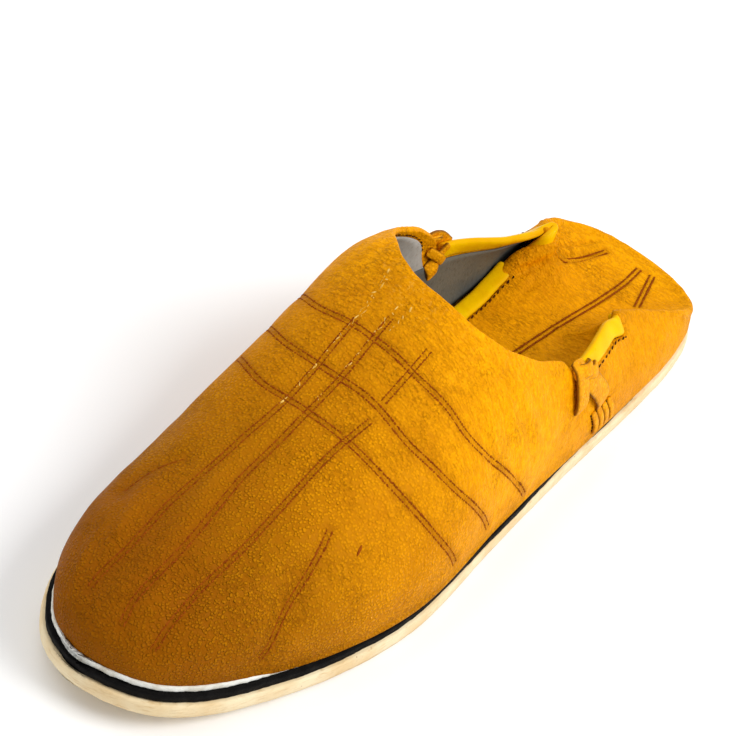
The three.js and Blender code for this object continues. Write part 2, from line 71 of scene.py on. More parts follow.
SOLE_EDGE = [  # station, x of the lateral side, x of the medial side
    (0, 0.9, 0.9), (2.2, 19.2, -17.0), (9, 30.6, -28.2), (25, 36.4, -33.4),
    (60, 40.3, -30.9), (100, 43.0, -28.9), (140, 46.9, -33.5), (185, 51.6, -37.4),
    (215, 47.7, -37.8), (240, 40.6, -35.4), (258, 33.4, -29.5), (270, 24.6, -21.2),
    (277, 13.4, -12.5), (280, -0.1, -0.1),
]
SEAT_INSET = [(0, 1.2), (30, 0.8), (150, 0.8), (200, 1.6), (250, 3.0), (280, 3.2)]

SECTION_STATIONS = (0, 15, 35, 55, 80, 105, 130, 155, 185, 215, 245, 277)
SECTION = {  # one value at each of the stations above
    "rise": (20, 24, 25, 31, 46, 61, 67, 58, 45, 35, 29, 25),
    "crest": (0, 0, 0, -2, -6, -6, -3, -1, -1, 0, 0, 0),
    "lateral_round": (2.0, 2.0, 2.0, 2.0, 2.0, 2.0, 2.0, 2.1, 2.2, 2.3, 2.4, 2.4),
    "medial_round": (2.0, 2.0, 2.0, 2.1, 2.3, 2.5, 2.6, 2.6, 2.5, 2.4, 2.3, 2.3),
    "lateral_swell": (0, 0, 0, 0, 0, 0, 1, 1, 0, 1, 1, 1),
    "medial_swell": (0, 0, 0, 2, 7, 10, 11, 9, 6, 4, 3, 2),
}
COLLAR = [  # angle, station where the vamp begins
    (0, 80), (9, 88), (18, 96), (28, 97.5), (37, 102), (43, 116), (50, 126), (56, 132),
    (71, 138), (88, 139), (100, 135.5), (108, 130), (116, 124), (124, 114), (132, 99),
    (140, 90), (150, 87), (165, 82), (180, 78),
]
WALL_TOP = {  # station, height over the seat
    "lateral": [(0, 4.6), (9, 5.2), (15, 7.5), (25, 12.5), (36, 17), (45, 20.5),
                (55, 24.5), (67, 28.5), (86, 30.4), (103, 32)],
    "medial": [(0, 4.6), (9, 5.6), (15, 8.5), (25, 13), (36, 19.5), (45, 22),
               (55, 24.5), (67, 27.5), (86, 32), (103, 34)],
}
# The binding on the free edges of the turned-in heel. The medial rows are the part's. The
# lateral ones lie up to 3 mm nearer to the wall than the part's.
FLAP_BINDING = {  # station, x, height over the seat, tilt from on edge (0) to flat (90)
    "lateral": [(57, 20.5, 17.6, 8), (61, 23.0, 12.2, 20), (67, 25.5, 7.7, 45),
                (74, 26.0, 5.0, 80), (80, 24.5, 3.8, 90), (89, 20.0, 3.6, 90),
                (96, 14.0, 3.6, 90), (101, 5.0, 3.6, 90)],
    "medial": [(38, -18.5, 17.0, 10), (43, -22.0, 12.0, 40), (49, -24.0, 7.5, 70),
               (57, -23.6, 4.8, 90), (68, -22.2, 3.6, 90), (80, -21.0, 3.6, 90),
               (89, -19.0, 3.6, 90), (96, -13.5, 3.6, 90), (101, -5.0, 3.6, 90)],
}

# ---- sizes that only the looks have ----------------------------------------------
# How far the binding swings round each bend. The part has one depth for both.
BEND_DEPTH = {"lateral": 2.0, "medial": 6.5}
# How far the leather's foot hangs below the seat and hides the sole's upper layers.
SKIRT = {  # station, drop
    "lateral": [(0, 5.2), (50, 5.0), (75, 4.9), (92, 5.4), (106, 4.4), (122, 2.5), (145, 1.8),
                (160, 2.9), (176, 3.7), (195, 3.0), (212, 2.5), (228, 2.5), (245, 2.1),
                (280, 1.6)],
    "medial": [(0, 5.0), (90, 5.0), (130, 3.2), (190, 2.6), (222, 2.4), (240, 2.0),
               (280, 1.6)],
}
HEM = 8.0
LINE_APART = 1.7
STITCH_PITCH = 2.8

# The tooled lines over the vamp: how many side by side, how deep a dye they hold, and
# the (station, angle) points of their middle.
TOOLED_LINES = {
    "cross_1": (2, 1.0, [(152, 140), (160, 113), (160, 95), (160, 83), (160, 72), (158, 58),
                         (156, 45), (148, 29), (126, 2)]),
    "cross_2": (2, 1.0, [(165, 143), (174, 113), (175, 94), (174, 81), (174, 60), (171, 47),
                         (166, 33), (149, 5)]),
    "cross_3": (2, 1.0, [(180, 137), (188, 109), (188, 92), (187, 76), (186, 61), (184, 47),
                         (178, 26), (168, 5)]),
    "fan_1": (1, 0.8, [(220, 112), (229, 121), (238, 127)]),
    "fan_2": (2, 0.7, [(158, 98), (178, 97), (190, 97), (206, 99), (234, 101), (256, 100),
                       (268, 105)]),
    "fan_3": (2, 0.9, [(152, 91), (172, 90), (196, 90), (216, 90), (230, 88), (244, 85),
                       (264, 80), (270, 72)]),
    "fan_4": (2, 0.9, [(178, 74), (192, 76), (205, 76), (219, 74), (231, 71), (250, 65),
                       (262, 54), (268, 38)]),
    "fan_4_upper": (2, 0.5, [(152, 75), (161, 75), (172, 75)]),
    "fan_5": (2, 0.8, [(208, 57), (218, 49), (231, 35), (241, 8)]),
}
# Strokes where the dye has rubbed off: (station, angle) points.
RUBBED_LINES = [
    [(140, 101), (150, 99.5), (160, 98)],
    [(142, 99.5), (152, 98.3), (158, 97)],
    [(148, 91.5), (153, 91.3), (158, 91)],
    [(147, 88.5), (153, 89.0), (157, 89.2)],
    [(158, 98.6), (175, 97.6), (192, 97.6)],
    [(152, 92.0), (168, 90.6), (184, 90.4)],
]

# Long soft folds that fan out over the toe: angle of the middle, size, width in degrees.
TOE_FOLDS = ((63, 0.55, 3.4), (80, 0.6, 3.0), (94, 0.7, 3.2), (112, 0.5, 3.6),
             (126, 0.35, 3.2), (48, 0.4, 3.0))
# Creases that the walking foot pressed in beside the instep, on the lateral side: station
# at 20 degrees, how much farther on for each degree more, and depth.
INSTEP_CREASES = ((118, 0.35, 0.45), (127, 0.30, 0.55), (136, 0.22, 0.4), (147, 0.12, 0.3))

# A small cut in the leather of the lateral toe, drawn as a dark dash: the cut, with painted shade
# inside it.
NICK = [(202.4, 44.5), (203.8, 43.0), (205.4, 42.0)]

CURVE_STEPS = 24  # points between two given ones of a curve, and of the sole's outline
rng = np.random.default_rng(7)


# ---- small mathematics -----------------------------------------------------------
def hermite(t, start, leaving, end, arriving):
    """From start to end as t goes from 0 to 1, with the given slopes at the two."""
    return (
        (2 * t**3 - 3 * t**2 + 1) * start + (t**3 - 2 * t**2 + t) * leaving
        + (3 * t**2 - 2 * t**3) * end + (t**3 - t**2) * arriving
    )


def smooth(table, at):
    """A smooth curve with no overshoot through rows of (key, value)."""
    xs, ys = np.array(table, float).T
    at = np.clip(np.asarray(at, float), xs[0], xs[-1])
    step = np.diff(xs)
    rate = np.diff(ys) / step
    slope = np.empty_like(xs)
    slope[0], slope[-1] = rate[0], rate[-1]
    a, b = rate[:-1], rate[1:]
    total = np.where(a + b == 0, 1, a + b)
    slope[1:-1] = np.where(a * b <= 0, 0, 2 * a * b / total)
    i = np.clip(np.searchsorted(xs, at, side="right") - 1, 0, len(step) - 1)
    t = (at - xs[i]) / step[i]
    return hermite(t, ys[i], step[i] * slope[i], ys[i + 1], step[i] * slope[i + 1])


def section(name, station):
    return smooth(list(zip(SECTION_STATIONS, SECTION[name])), station)


def unit(v):
    return v / np.maximum(np.linalg.norm(v, axis=-1, keepdims=True), 1e-9)


def bell(distance, width):
    return np.exp(-0.5 * (np.asarray(distance) / width) ** 2)


def ramp(value, low, high):
    """0 at low, 1 at high, smooth between."""
    t = np.clip((np.asarray(value, float) - low) / (high - low), 0, 1)
    return t * t * (3 - 2 * t)


def lumps(points, size, seed=0.0):
    """Soft noise from -1 to 1 at points, with lumps of about this size in mm."""
    flat = np.asarray(points, float).reshape(-1, 3) / size + seed * 17.3
    made = np.array([noise.noise(p) for p in flat.tolist()])
    return made.reshape(np.shape(points)[:-1])


def curve_span(a, b, c, d, t):
    """Points at t from b to c on the centripetal curve through four points."""
    u, v, w = (max(np.linalg.norm(q - p) ** 0.5, 1e-6) for p, q in ((a, b), (b, c), (c, d)))
    leaving = ((b - a) / u - (c - a) / (u + v) + (c - b) / v) * v
    arriving = ((c - b) / v - (d - b) / (v + w) + (d - c) / w) * v
    return hermite(t, b, leaving, c, arriving)


def run_along(line):
    """The distance run at each point of a line."""
    return np.r_[0, np.cumsum(np.linalg.norm(np.diff(line, axis=0), axis=1))]


def sample(line, far, at):
    """The line's values at some distances, from its values at the distances far."""
    return np.stack([np.interp(at, far, line[:, k]) for k in range(line.shape[1])], -1)


def catmull(points, count):
    """count points spaced evenly along a centripetal curve through the given ones."""
    pts = np.asarray(points, float)
    ext = np.vstack([2 * pts[0] - pts[1], pts, 2 * pts[-1] - pts[-2]])
    t = np.linspace(0, 1, CURVE_STEPS, endpoint=False)[:, None]
    dense = [curve_span(*ext[i : i + 4], t) for i in range(len(ext) - 3)]
    dense = np.vstack([*dense, pts[-1:]])
    far = run_along(dense)
    return sample(dense, far, np.linspace(0, far[-1], count))


def tree_of(points):
    tree = KDTree(len(points))
    for i, point in enumerate(points):
        tree.insert(point, i)
    tree.balance()
    return tree


# ---- the last --------------------------------------------------------------------
def sole_ring():
    """The sole's outline as a closed ring, from the back of the heel up the lateral side."""
    rows = np.array(SOLE_EDGE, float)
    knots = np.vstack([rows[:, [1, 0]], rows[1:-1, [2, 0]][::-1]])
    t = (np.arange(CURVE_STEPS) / CURVE_STEPS)[:, None]
    around = range(len(knots))
    return np.vstack([curve_span(*knots[np.arange(i - 1, i + 3) % len(knots)], t) for i in around])


def inset_ring(ring, distance):
    """The ring moved inwards by distance, a number or an array along it."""
    along = unit(np.roll(ring, -1, 0) - np.roll(ring, 1, 0))
    inward = np.stack([-along[:, 1], along[:, 0]], -1)
    return ring + inward * np.reshape(distance, (-1, 1))


RING = sole_ring()
SEAT = inset_ring(RING, smooth(SEAT_INSET, RING[:, 1]))
TOE_TIP = SEAT[:, 1].max()


def edges_of(ring, station):
    """x of the ring's lateral and medial side at each station."""
    first = np.roll(ring, -ring[:, 1].argmin(), 0)
    tip = first[:, 1].argmax()
    lateral = first[: tip + 1]
    medial = np.vstack([first[tip:], first[:1]])[::-1]
    return (
        np.interp(station, lateral[:, 1], lateral[:, 0]),
        np.interp(station, medial[:, 1], medial[:, 0]),
    )


def spring(station):
    share = np.clip((np.asarray(station) - SPRING_START) / (SOLE_LENGTH - SPRING_START), 0, 1)
    return TOE_SPRING * share**2


def place(x, station, z):
    x, station, z = np.broadcast_arrays(x, station, z)
    return np.stack([x, SOLE_LENGTH / 2 - station, z], -1).astype(float)


def last_point(station, angle, depth=0.0):
    """A point of the last's skin, moved in by a depth. The angle is in radians."""
    station, angle = np.broadcast_arrays(np.asarray(station, float), np.asarray(angle, float))
    tip = TOE_TIP - depth
    s = np.minimum(station, tip)
    at = np.clip(s + depth * np.clip((s - 200) / 60, 0, 1), 2.5, TOE_TIP - 0.02)
    lateral_edge, medial_edge = edges_of(SEAT, at)
    reach = np.clip((s - TOE_CAP_START) / (tip - TOE_CAP_START), 0, 1)
    cap = (1 - reach**TOE_CAP_ROUND) ** (1 / TOE_CAP_ROUND)
    middle = (lateral_edge + medial_edge) / 2
    crest = section("crest", s) * cap + middle * (1 - cap)
    on_lateral = angle <= math.pi / 2
    roundness = np.where(on_lateral, section("lateral_round", s), section("medial_round", s))
    swell = np.where(on_lateral, section("lateral_swell", s), -section("medial_swell", s)) * cap
    edge = np.where(on_lateral, lateral_edge - depth, medial_edge + depth)
    flank = np.where(on_lateral, angle, math.pi - angle)
    out = np.abs(np.cos(flank)) ** (2 / roundness)
    up = np.abs(np.sin(flank)) ** (2 / roundness)
    rise = (section("rise", s) - depth) * cap
    x = crest + (edge - crest) * out + swell * np.sin(2 * flank)
    return place(x, s, SEAT_BASE + spring(s) + rise * up)


def skin_normal(station, angle):
    """The last's outward normal at a station and an angle in radians."""
    at = last_point(station, angle)
    up = last_point(station, np.asarray(angle) + 0.02) - at
    fore = last_point(np.asarray(station) + 1.0, angle) - at
    return unit(np.cross(up, fore))


# ---- meshes ----------------------------------------------------------------------
def grid_faces(rows, cols, start=0, closed_cols=False):
    """Quads of a grid of rows x cols points, numbered from start."""
    i, j = np.arange(rows - 1), np.arange(cols if closed_cols else cols - 1)
    i, j = np.meshgrid(i, j, indexing="ij")
    here, after, beside = i * cols, (i + 1) * cols, (j + 1) % cols
    quads = np.stack([here + j, after + j, after + beside, here + beside], -1)
    return (quads.reshape(-1, 4) + start).tolist()


def tube_faces(rows, around):
    """Quads of a closed tube of rings, and a face across each end."""
    ends = [list(range(around)), list(range((rows - 1) * around, rows * around))]
    return grid_faces(rows, around, closed_cols=True) + ends


def shell(outer, inner):
    """Two grids of the same size as the two faces of a closed sheet."""
    rows, cols = outer.shape[:2]
    half = rows * cols
    faces = grid_faces(rows, cols) + grid_faces(rows, cols, half)
    for i in range(rows - 1):
        for j in (0, cols - 1):
            k = i * cols + j
            faces.append([k, k + cols, half + k + cols, half + k])
    for j in range(cols - 1):
        for i in (0, rows - 1):
            k = i * cols + j
            faces.append([k, k + 1, half + k + 1, half + k])
    return np.concatenate([outer.reshape(-1, 3), inner.reshape(-1, 3)]), faces


def in_metres(points):
    return (np.asarray(points, float).reshape(-1, 3) - (MIDDLE_X, 0, 0)) / 1000


def set_shades(mesh, shades):
    """Numbers from 0 to 1 at the mesh's points, which its material reads by name."""
    for key, values in shades.items():
        layer = mesh.attributes.new(key, "FLOAT", "POINT")
        layer.data.foreach_set("value", np.asarray(values, np.float32).ravel())


def make_piece(name, points, faces, material, slot, replaced=(), shades=None):
    """A smooth-shaded mesh piece from points in millimetres, riding on the shoe's body."""
    mesh = bpy.data.meshes.new(name)
    mesh.from_pydata(in_metres(points).tolist(), [], [list(f) for f in faces])
    set_shades(mesh, shades or {})
    cleaned = bmesh.new()
    cleaned.from_mesh(mesh)
    bmesh.ops.remove_doubles(cleaned, verts=cleaned.verts, dist=2e-6)
    bmesh.ops.recalc_face_normals(cleaned, faces=cleaned.faces)
    cleaned.to_mesh(mesh)
    cleaned.free()
    mesh.polygons.foreach_set("use_smooth", [True] * len(mesh.polygons))
    mesh.materials.append(material)
    piece = bpy.data.objects.new(name, mesh)
    bpy.context.scene.collection.objects.link(piece)
    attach(piece, "root")
    if replaced:
        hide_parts(*replaced)
    return piece


def oval(around, power):
    """Cosine and sine round a flat oval; a higher power makes it squarer."""
    turn = 2 * math.pi * np.arange(around) / around
    return [np.sign(v) * np.abs(v) ** (2 / power) for v in (np.cos(turn), np.sin(turn))]


def sweep(line, wide, thin, around=16, power=2.6, tips=4):
    """A closed strip of flat oval section along a line; wide and thin are the section's
    half axes as vectors. Its ends are rounded off."""
    line, wide, thin = (np.asarray(v, float) for v in (line, wide, thin))
    c, s = oval(around, power)
    rows = line[:, None] + wide[:, None] * c[None, :, None] + thin[:, None] * s[None, :, None]
    caps = []
    for end, step in ((0, line[0] - line[1]), (-1, line[-1] - line[-2])):
        out = unit(step) * np.linalg.norm(thin[end])
        turns = (math.pi / 2) * np.arange(1, tips + 1) / tips * 0.97
        caps.append(np.array([
            line[end] + (rows[end] - line[end]) * math.cos(t) + out * math.sin(t) for t in turns
        ]))
    rows = np.concatenate([caps[0][::-1], rows, caps[1]])
    return rows.reshape(-1, 3), tube_faces(len(rows), around)


def edge_shade(points, around, sharpness):
    """1 along the two thin edges of a swept strip, falling off over its faces: the mask of painted
    shade on those edges.
    """
    across = np.abs(np.cos(2 * math.pi * np.arange(around) / around)) ** sharpness
    return np.tile(across, len(points) // around)


def join(parts):
    """Several (points, faces) as one."""
    points, faces, start = [], [], 0
    for pts, fcs in parts:
        points.append(np.asarray(pts).reshape(-1, 3))
        faces.extend([[k + start for k in f] for f in fcs])
        start += len(points[-1])
    return np.vstack(points), faces


STITCH_SHAPE = ((-1.0, 0.25), (-0.62, 0.85), (0.0, 1.0), (0.62, 0.85), (1.0, 0.25))
STITCH_ROUND = 6


def dashes(line, normals, pitch, length, width, height, slant=0.0, jitter=0.12):
    """Short rounded stitches laid along a line on a surface."""
    line, normals = np.asarray(line, float), np.asarray(normals)
    far = run_along(line)
    count = max(int(far[-1] / pitch), 1)
    at = (np.arange(count) + 0.5) * far[-1] / count
    at = at + rng.normal(0, jitter * pitch * 0.5, count)
    spot = sample(line, far, at)
    along = unit(sample(line, far, at + 0.5) - sample(line, far, at - 0.5))
    across = unit(np.cross(unit(sample(normals, far, at)), along))
    up = unit(np.cross(along, across))
    lean = slant + rng.normal(0, jitter, count)
    long_axis = along * np.cos(lean)[:, None] + across * np.sin(lean)[:, None]
    side_axis = unit(np.cross(up, long_axis))
    size = 1 + rng.normal(0, jitter, (count, 3))
    turn = 2 * math.pi * np.arange(STITCH_ROUND) / STITCH_ROUND
    parts = []
    for k in range(count):
        rows = [
            spot[k] + long_axis[k] * step * length / 2 * size[k, 0]
            + np.outer(np.cos(turn), side_axis[k]) * width / 2 * fat * size[k, 1]
            + np.outer(np.sin(turn), up[k]) * height / 2 * fat
            for step, fat in STITCH_SHAPE
        ]
        parts.append((np.array(rows), tube_faces(len(rows), STITCH_ROUND)))
    return join(parts)


def grid_normals(grid):
    return unit(np.cross(np.gradient(grid, axis=0), np.gradient(grid, axis=1)))


def nearest(points, line):
    """Distance from each point to a densely spaced line."""
    tree = tree_of(line)
    flat = np.asarray(points).reshape(-1, 3)
    found = np.array([tree.find(p)[2] for p in flat.tolist()])
    return found.reshape(np.shape(points)[:-1])


# ---- materials -------------------------------------------------------------------
def linear(r, g, b):
    """An sRGB colour of 0-255 as Blender's linear RGBA."""
    made = []
    for v in (r, g, b):
        v = v / 255
        made.append(v / 12.92 if v <= 0.04045 else ((v + 0.055) / 1.055) ** 2.4)
    return (*made, 1.0)


class Shader:
    """A short way to write a node material."""

    def __init__(self, name, roughness=0.5, specular=0.5, coat=0.0, coat_roughness=0.2):
        self.material = bpy.data.materials.new(name)
        self.material.use_nodes = True
        self.tree = self.material.node_tree
        self.surface = self.tree.nodes["Principled BSDF"]
        self.surface.inputs["Roughness"].default_value = roughness
        self.surface.inputs["Specular IOR Level"].default_value = specular
        self.surface.inputs["Coat Weight"].default_value = coat
        self.surface.inputs["Coat Roughness"].default_value = coat_roughness
        self.place = self.tree.nodes.new("ShaderNodeTexCoord").outputs["Object"]

    def set(self, socket, value):
        if isinstance(value, bpy.types.NodeSocket):
            self.tree.links.new(value, socket)
        elif value is not None:
            socket.default_value = value

    def add(self, kind, **values):
        made = self.tree.nodes.new(kind)
        for key, value in values.items():
            setattr(made, key, value)
        return made

    def stretched(self, scale):
        made = self.add("ShaderNodeMapping")
        self.set(made.inputs["Vector"], self.place)
        made.inputs["Scale"].default_value = scale
        return made.outputs["Vector"]

    def noise(self, size_mm, detail=3.0, rough=0.55, where=None):
        made = self.add("ShaderNodeTexNoise")
        self.set(made.inputs["Vector"], self.place if where is None else where)
        made.inputs["Scale"].default_value = 1000.0 / size_mm
        made.inputs["Detail"].default_value = detail
        made.inputs["Roughness"].default_value = rough
        return made.outputs["Fac"]

    def cells(self, size_mm, where=None):
        """Distance from the middle of the nearest of many cells of about this size."""
        made = self.add("ShaderNodeTexVoronoi", feature="F1")
        self.set(made.inputs["Vector"], self.place if where is None else where)
        made.inputs["Scale"].default_value = 1000.0 / size_mm
        return made.outputs["Distance"]

    def attribute(self, name):
        return self.add("ShaderNodeAttribute", attribute_name=name).outputs["Fac"]

    def math(self, operation, a, b=None):
        made = self.add("ShaderNodeMath", operation=operation)
        self.set(made.inputs[0], a)
        if b is not None:
            self.set(made.inputs[1], b)
        return made.outputs[0]

    def levels(self, value, low, high, out_low=0.0, out_high=1.0):
        made = self.add("ShaderNodeMapRange", interpolation_type="SMOOTHSTEP")
        self.set(made.inputs["Value"], value)
        made.inputs["From Min"].default_value = low
        made.inputs["From Max"].default_value = high
        made.inputs["To Min"].default_value = out_low
        made.inputs["To Max"].default_value = out_high
        return made.outputs["Result"]

    def patches(self, size_mm, detail, low, high, rough=0.55, where=None, to=(0.0, 1.0)):
        """Noise through a soft threshold: to[0] where it is low, to[1] where it is high."""
        return self.levels(self.noise(size_mm, detail, rough, where), low, high, *to)

    def axis(self, index):
        made = self.add("ShaderNodeSeparateXYZ")
        self.set(made.inputs[0], self.place)
        return made.outputs[index]

    def mix(self, share, a, b):
        made = self.add("ShaderNodeMix", data_type="RGBA")
        self.set(made.inputs["Factor"], share)
        self.set(made.inputs["A"], a)
        self.set(made.inputs["B"], b)
        return made.outputs["Result"]

    def tint(self, base, mask, share, colour):
        """The base with a colour over it where the mask is 1, as strongly as share says."""
        return self.mix(self.math("MULTIPLY", mask, share), base, colour)

    def colours(self, value, stops):
        """A colour ramp through stops of (value, colour), over the values' own range."""
        low, high = stops[0][0], stops[-1][0]
        made = self.add("ShaderNodeValToRGB")
        band = made.color_ramp
        band.interpolation = "EASE"
        while len(band.elements) < len(stops):
            band.elements.new(0.5)
        for element, (at, colour) in zip(band.elements, stops):
            element.position = (at - low) / (high - low)
            element.color = colour
        share = self.add("ShaderNodeMapRange")
        self.set(share.inputs["Value"], value)
        share.inputs["From Min"].default_value = low
        share.inputs["From Max"].default_value = high
        self.set(made.inputs[0], share.outputs["Result"])
        return made.outputs["Color"]

    def bump(self, height, distance_mm, below=None):
        made = self.add("ShaderNodeBump")
        made.inputs["Strength"].default_value = 1.0
        made.inputs["Distance"].default_value = distance_mm / 1000
        self.set(made.inputs["Height"], height)
        if below is not None:
            self.set(made.inputs["Normal"], below)
        return made.outputs["Normal"]

    def finish(self, colour=None, roughness=None, normal=None):
        if colour is not None:
            self.set(self.surface.inputs["Base Color"], colour)
        if roughness is not None:
            self.set(self.surface.inputs["Roughness"], roughness)
        if normal is not None:
            self.set(self.surface.inputs["Normal"], normal)
        return self.material


GRAIN_WARP = 0.0007  # how far, in metres, noise pushes the pebbles out of a plain pattern


def leather_grain(s, pebble_mm, depth_mm, share):
    """The pebbled grain of tanned goatskin: its valleys (0 to 1) and its normal.
    share says how strong the pebbles are from place to place."""
    moved = s.add("ShaderNodeVectorMath", operation="MULTIPLY_ADD")
    s.set(moved.inputs[0], s.noise(3.0))
    moved.inputs[1].default_value = (GRAIN_WARP,) * 3
    s.set(moved.inputs[2], s.place)
    cell = s.cells(pebble_mm, where=moved.outputs["Vector"])
    valley = s.math("MULTIPLY", s.levels(cell, 0.25, 0.62), share)
    folds = s.noise(3.4, 4.0, 0.62, where=s.stretched((1.0, 2.2, 1.0)))
    grain = s.bump(s.math("MULTIPLY", valley, -1.0), depth_mm)
    return valley, s.bump(folds, 0.36, below=grain)


def upper_leather():
    s = Shader("ochre_leather", specular=0.025)
    # brown at the toe, yellow towards the heel, with a wavering edge; the toe's brown is partly
    # the dye and partly painted shade
    along = s.math("MULTIPLY", s.axis(1), 1000.0)
    wander = s.math("MULTIPLY", s.math("SUBTRACT", s.noise(60.0), 0.5), 60.0)
    # painted light: the lateral side (+x) is made lighter, as if lit from that side
    across = s.math("MULTIPLY", s.axis(0), 200.0)
    base = s.colours(s.math("ADD", s.math("ADD", along, wander), across), [
        (-160, linear(140, 80, 1)),
        (-115, linear(154, 92, 1)),
        (-80, linear(184, 118, 2)),
        (-40, linear(224, 147, 3)),
        (10, linear(252, 170, 2)),
        (80, linear(242, 160, 1)),
        (160, linear(238, 162, 2)),
    ])
    # handled dark on the instep's crest
    off_crest = s.math("ABSOLUTE", s.math("ADD", s.axis(0), 0.012))
    crest = s.math("MULTIPLY", s.levels(off_crest, 0.004, 0.026, 1.0, 0.0),
                   s.levels(along, 18.0, 40.0, 1.0, 0.0))
    base = s.tint(base, crest, 0.22, linear(140, 78, 2))
    base = s.tint(base, s.patches(24.0, 4.0, 0.44, 0.72, 0.6), 0.26, linear(196, 118, 4))
    base = s.tint(base, s.patches(5.0, 4.0, 0.46, 0.74, 0.6), 0.14, linear(168, 96, 3))
    # pebbles, strongest at the toe
    uneven = s.patches(30.0, 3.0, 0.35, 0.65, to=(0.75, 1.15))
    ageing = s.math("MULTIPLY", s.levels(along, -110.0, 15.0, 1.0, 0.30), uneven)
    valley, normal = leather_grain(s, 1.0, 0.32, ageing)
    base = s.tint(base, valley, 0.46, linear(118, 58, 1))
    # branching wrinkles, in places
    veins = s.noise(2.6, 4.0, 0.6, where=s.stretched((0.7, 1.5, 1.0)))
    veins = s.math("ABSOLUTE", s.math("SUBTRACT", veins, 0.5))
    wrinkle = s.math("MULTIPLY", s.levels(veins, 0.0, 0.035, 1.0, 0.0),
                     s.patches(18.0, 3.0, 0.42, 0.62))
    base = s.tint(base, wrinkle, 0.26, linear(140, 72, 2))
    normal = s.bump(s.math("MULTIPLY", wrinkle, -1.0), 0.12, below=normal)
    # fine streaks that run across the foot
    streak = s.patches(1.5, 3.0, 0.44, 0.62, 0.65, where=s.stretched((0.5, 1.6, 0.5)))
    streak = s.math("MULTIPLY", streak, s.levels(along, -100.0, 0.0, 0.35, 1.0))
    base = s.tint(base, streak, 0.26, linear(176, 96, 2))
    normal = s.bump(s.math("MULTIPLY", streak, -1.0), 0.14, below=normal)
    # darker along the tooled lines, where the dye lies, and painted shade in the toe's troughs and
    # the flap's folds
    base = s.tint(base, s.attribute("groove"), 0.36, linear(124, 60, 3))
    wear = s.math("MULTIPLY", s.attribute("wear"), s.patches(1.4, 4.0, 0.54, 0.66, 0.7))
    base = s.tint(base, wear, 0.7, linear(236, 190, 90))
    # painted shade along the leather's foot by the sole, low on the heel and over the flap's
    # sunken middle
    base = s.tint(base, s.attribute("shade"), 0.75, linear(100, 52, 3))
    return s.finish(base, s.patches(9.0, 3.0, 0.3, 0.7, to=(0.42, 0.58)), normal)


def strap_leather():
    s = Shader("strap_leather", specular=0.06)
    base = s.mix(s.patches(3.0, 4.0, 0.35, 0.7), linear(246, 168, 6), linear(226, 148, 6))
    valley, normal = leather_grain(s, 1.1, 0.22, 0.7)
    base = s.tint(base, valley, 0.35, linear(136, 72, 4))
    # painted shade along the straps' edges and in the gaps between them
    base = s.tint(base, s.attribute("edge"), 0.9, linear(84, 40, 8))
    return s.finish(base, s.patches(4.0, 2.0, 0.3, 0.7, to=(0.45, 0.6)), normal)


def thread(name, colour, tone):
    s = Shader(name, roughness=0.75, specular=0.05)
    base = s.mix(s.patches(1.2, 2.0, 0.35, 0.65), colour, tone)
    return s.finish(base, None, s.bump(s.noise(0.3, 2.0), 0.05))


def binding_leather():
    s = Shader("lemon_binding", specular=0.03, coat=0.015, coat_roughness=0.2)
    base = s.mix(s.patches(9.0, 3.0, 0.3, 0.7), linear(238, 190, 1), linear(230, 174, 1))
    base = s.tint(base, s.patches(2.0, 4.0, 0.60, 0.75, 0.7), 0.35, linear(214, 150, 6))
    # painted shade along the binding's edges
    base = s.tint(base, s.attribute("edge"), 0.5, linear(206, 138, 4))
    normal = s.bump(s.noise(0.8, 3.0, 0.6), 0.05)
    normal = s.bump(s.noise(5.0, 2.0, 0.5), 0.22, below=normal)
    return s.finish(base, s.patches(6.0, 2.0, 0.3, 0.7, to=(0.26, 0.40)), normal)


def crepe_rubber():
    s = Shader("cream_crepe", specular=0.3)
    base = s.mix(s.patches(12.0, 4.0, 0.3, 0.7), linear(240, 222, 184), linear(228, 200, 152))
    layers = s.noise(1.6, 4.0, 0.65, where=s.stretched((0.35, 0.35, 2.4)))
    base = s.mix(s.levels(layers, 0.50, 0.74, 0.0, 0.55), base, linear(200, 160, 100))
    specks = s.math("MULTIPLY", s.levels(s.cells(1.7), 0.02, 0.20, 1.0, 0.0),
                    s.patches(4.0, 3.0, 0.56, 0.66, 0.7))
    base = s.tint(base, specks, 0.8, linear(126, 92, 50))
    base = s.mix(s.levels(s.axis(2), 0.0, 0.0022, 0.4, 0.0), base, linear(176, 150, 112))
    normal = s.bump(layers, 0.30)
    return s.finish(base, 0.78, s.bump(s.noise(0.5, 3.0, 0.6), 0.08, below=normal))


def black_rubber():
    s = Shader("black_layer", specular=0.08)
    base = s.mix(s.patches(1.5, 4.0, 0.4, 0.7, 0.7), linear(7, 6, 6), linear(20, 18, 17))
    normal = s.bump(s.noise(0.9, 4.0, 0.7), 0.30)
    return s.finish(base, s.patches(3.0, 3.0, 0.3, 0.7, to=(0.6, 0.85)), normal)


def white_layer():
    s = Shader("white_welt", specular=0.3)
    base = s.mix(s.patches(5.0, 4.0, 0.35, 0.7), linear(238, 238, 232), linear(206, 200, 184))
    return s.finish(base, 0.75, s.bump(s.noise(1.0, 4.0, 0.7), 0.25))


def insole_leather():
    s = Shader("worn_insole", specular=0.35)
    base = s.mix(s.patches(30.0, 4.0, 0.3, 0.7), linear(122, 112, 92), linear(98, 94, 86))
    base = s.mix(s.patches(2.2, 5.0, 0.46, 0.70, 0.7, to=(0.0, 0.6)), base, linear(74, 68, 56))
    flecks = s.patches(0.9, 3.0, 0.66, 0.74, 0.7, to=(0.0, 0.55))
    base = s.mix(flecks, base, linear(182, 178, 166))
    return s.finish(base, s.patches(4.0, 3.0, 0.3, 0.7, to=(0.42, 0.62)),
                    s.bump(s.noise(0.8, 4.0, 0.6), 0.10))


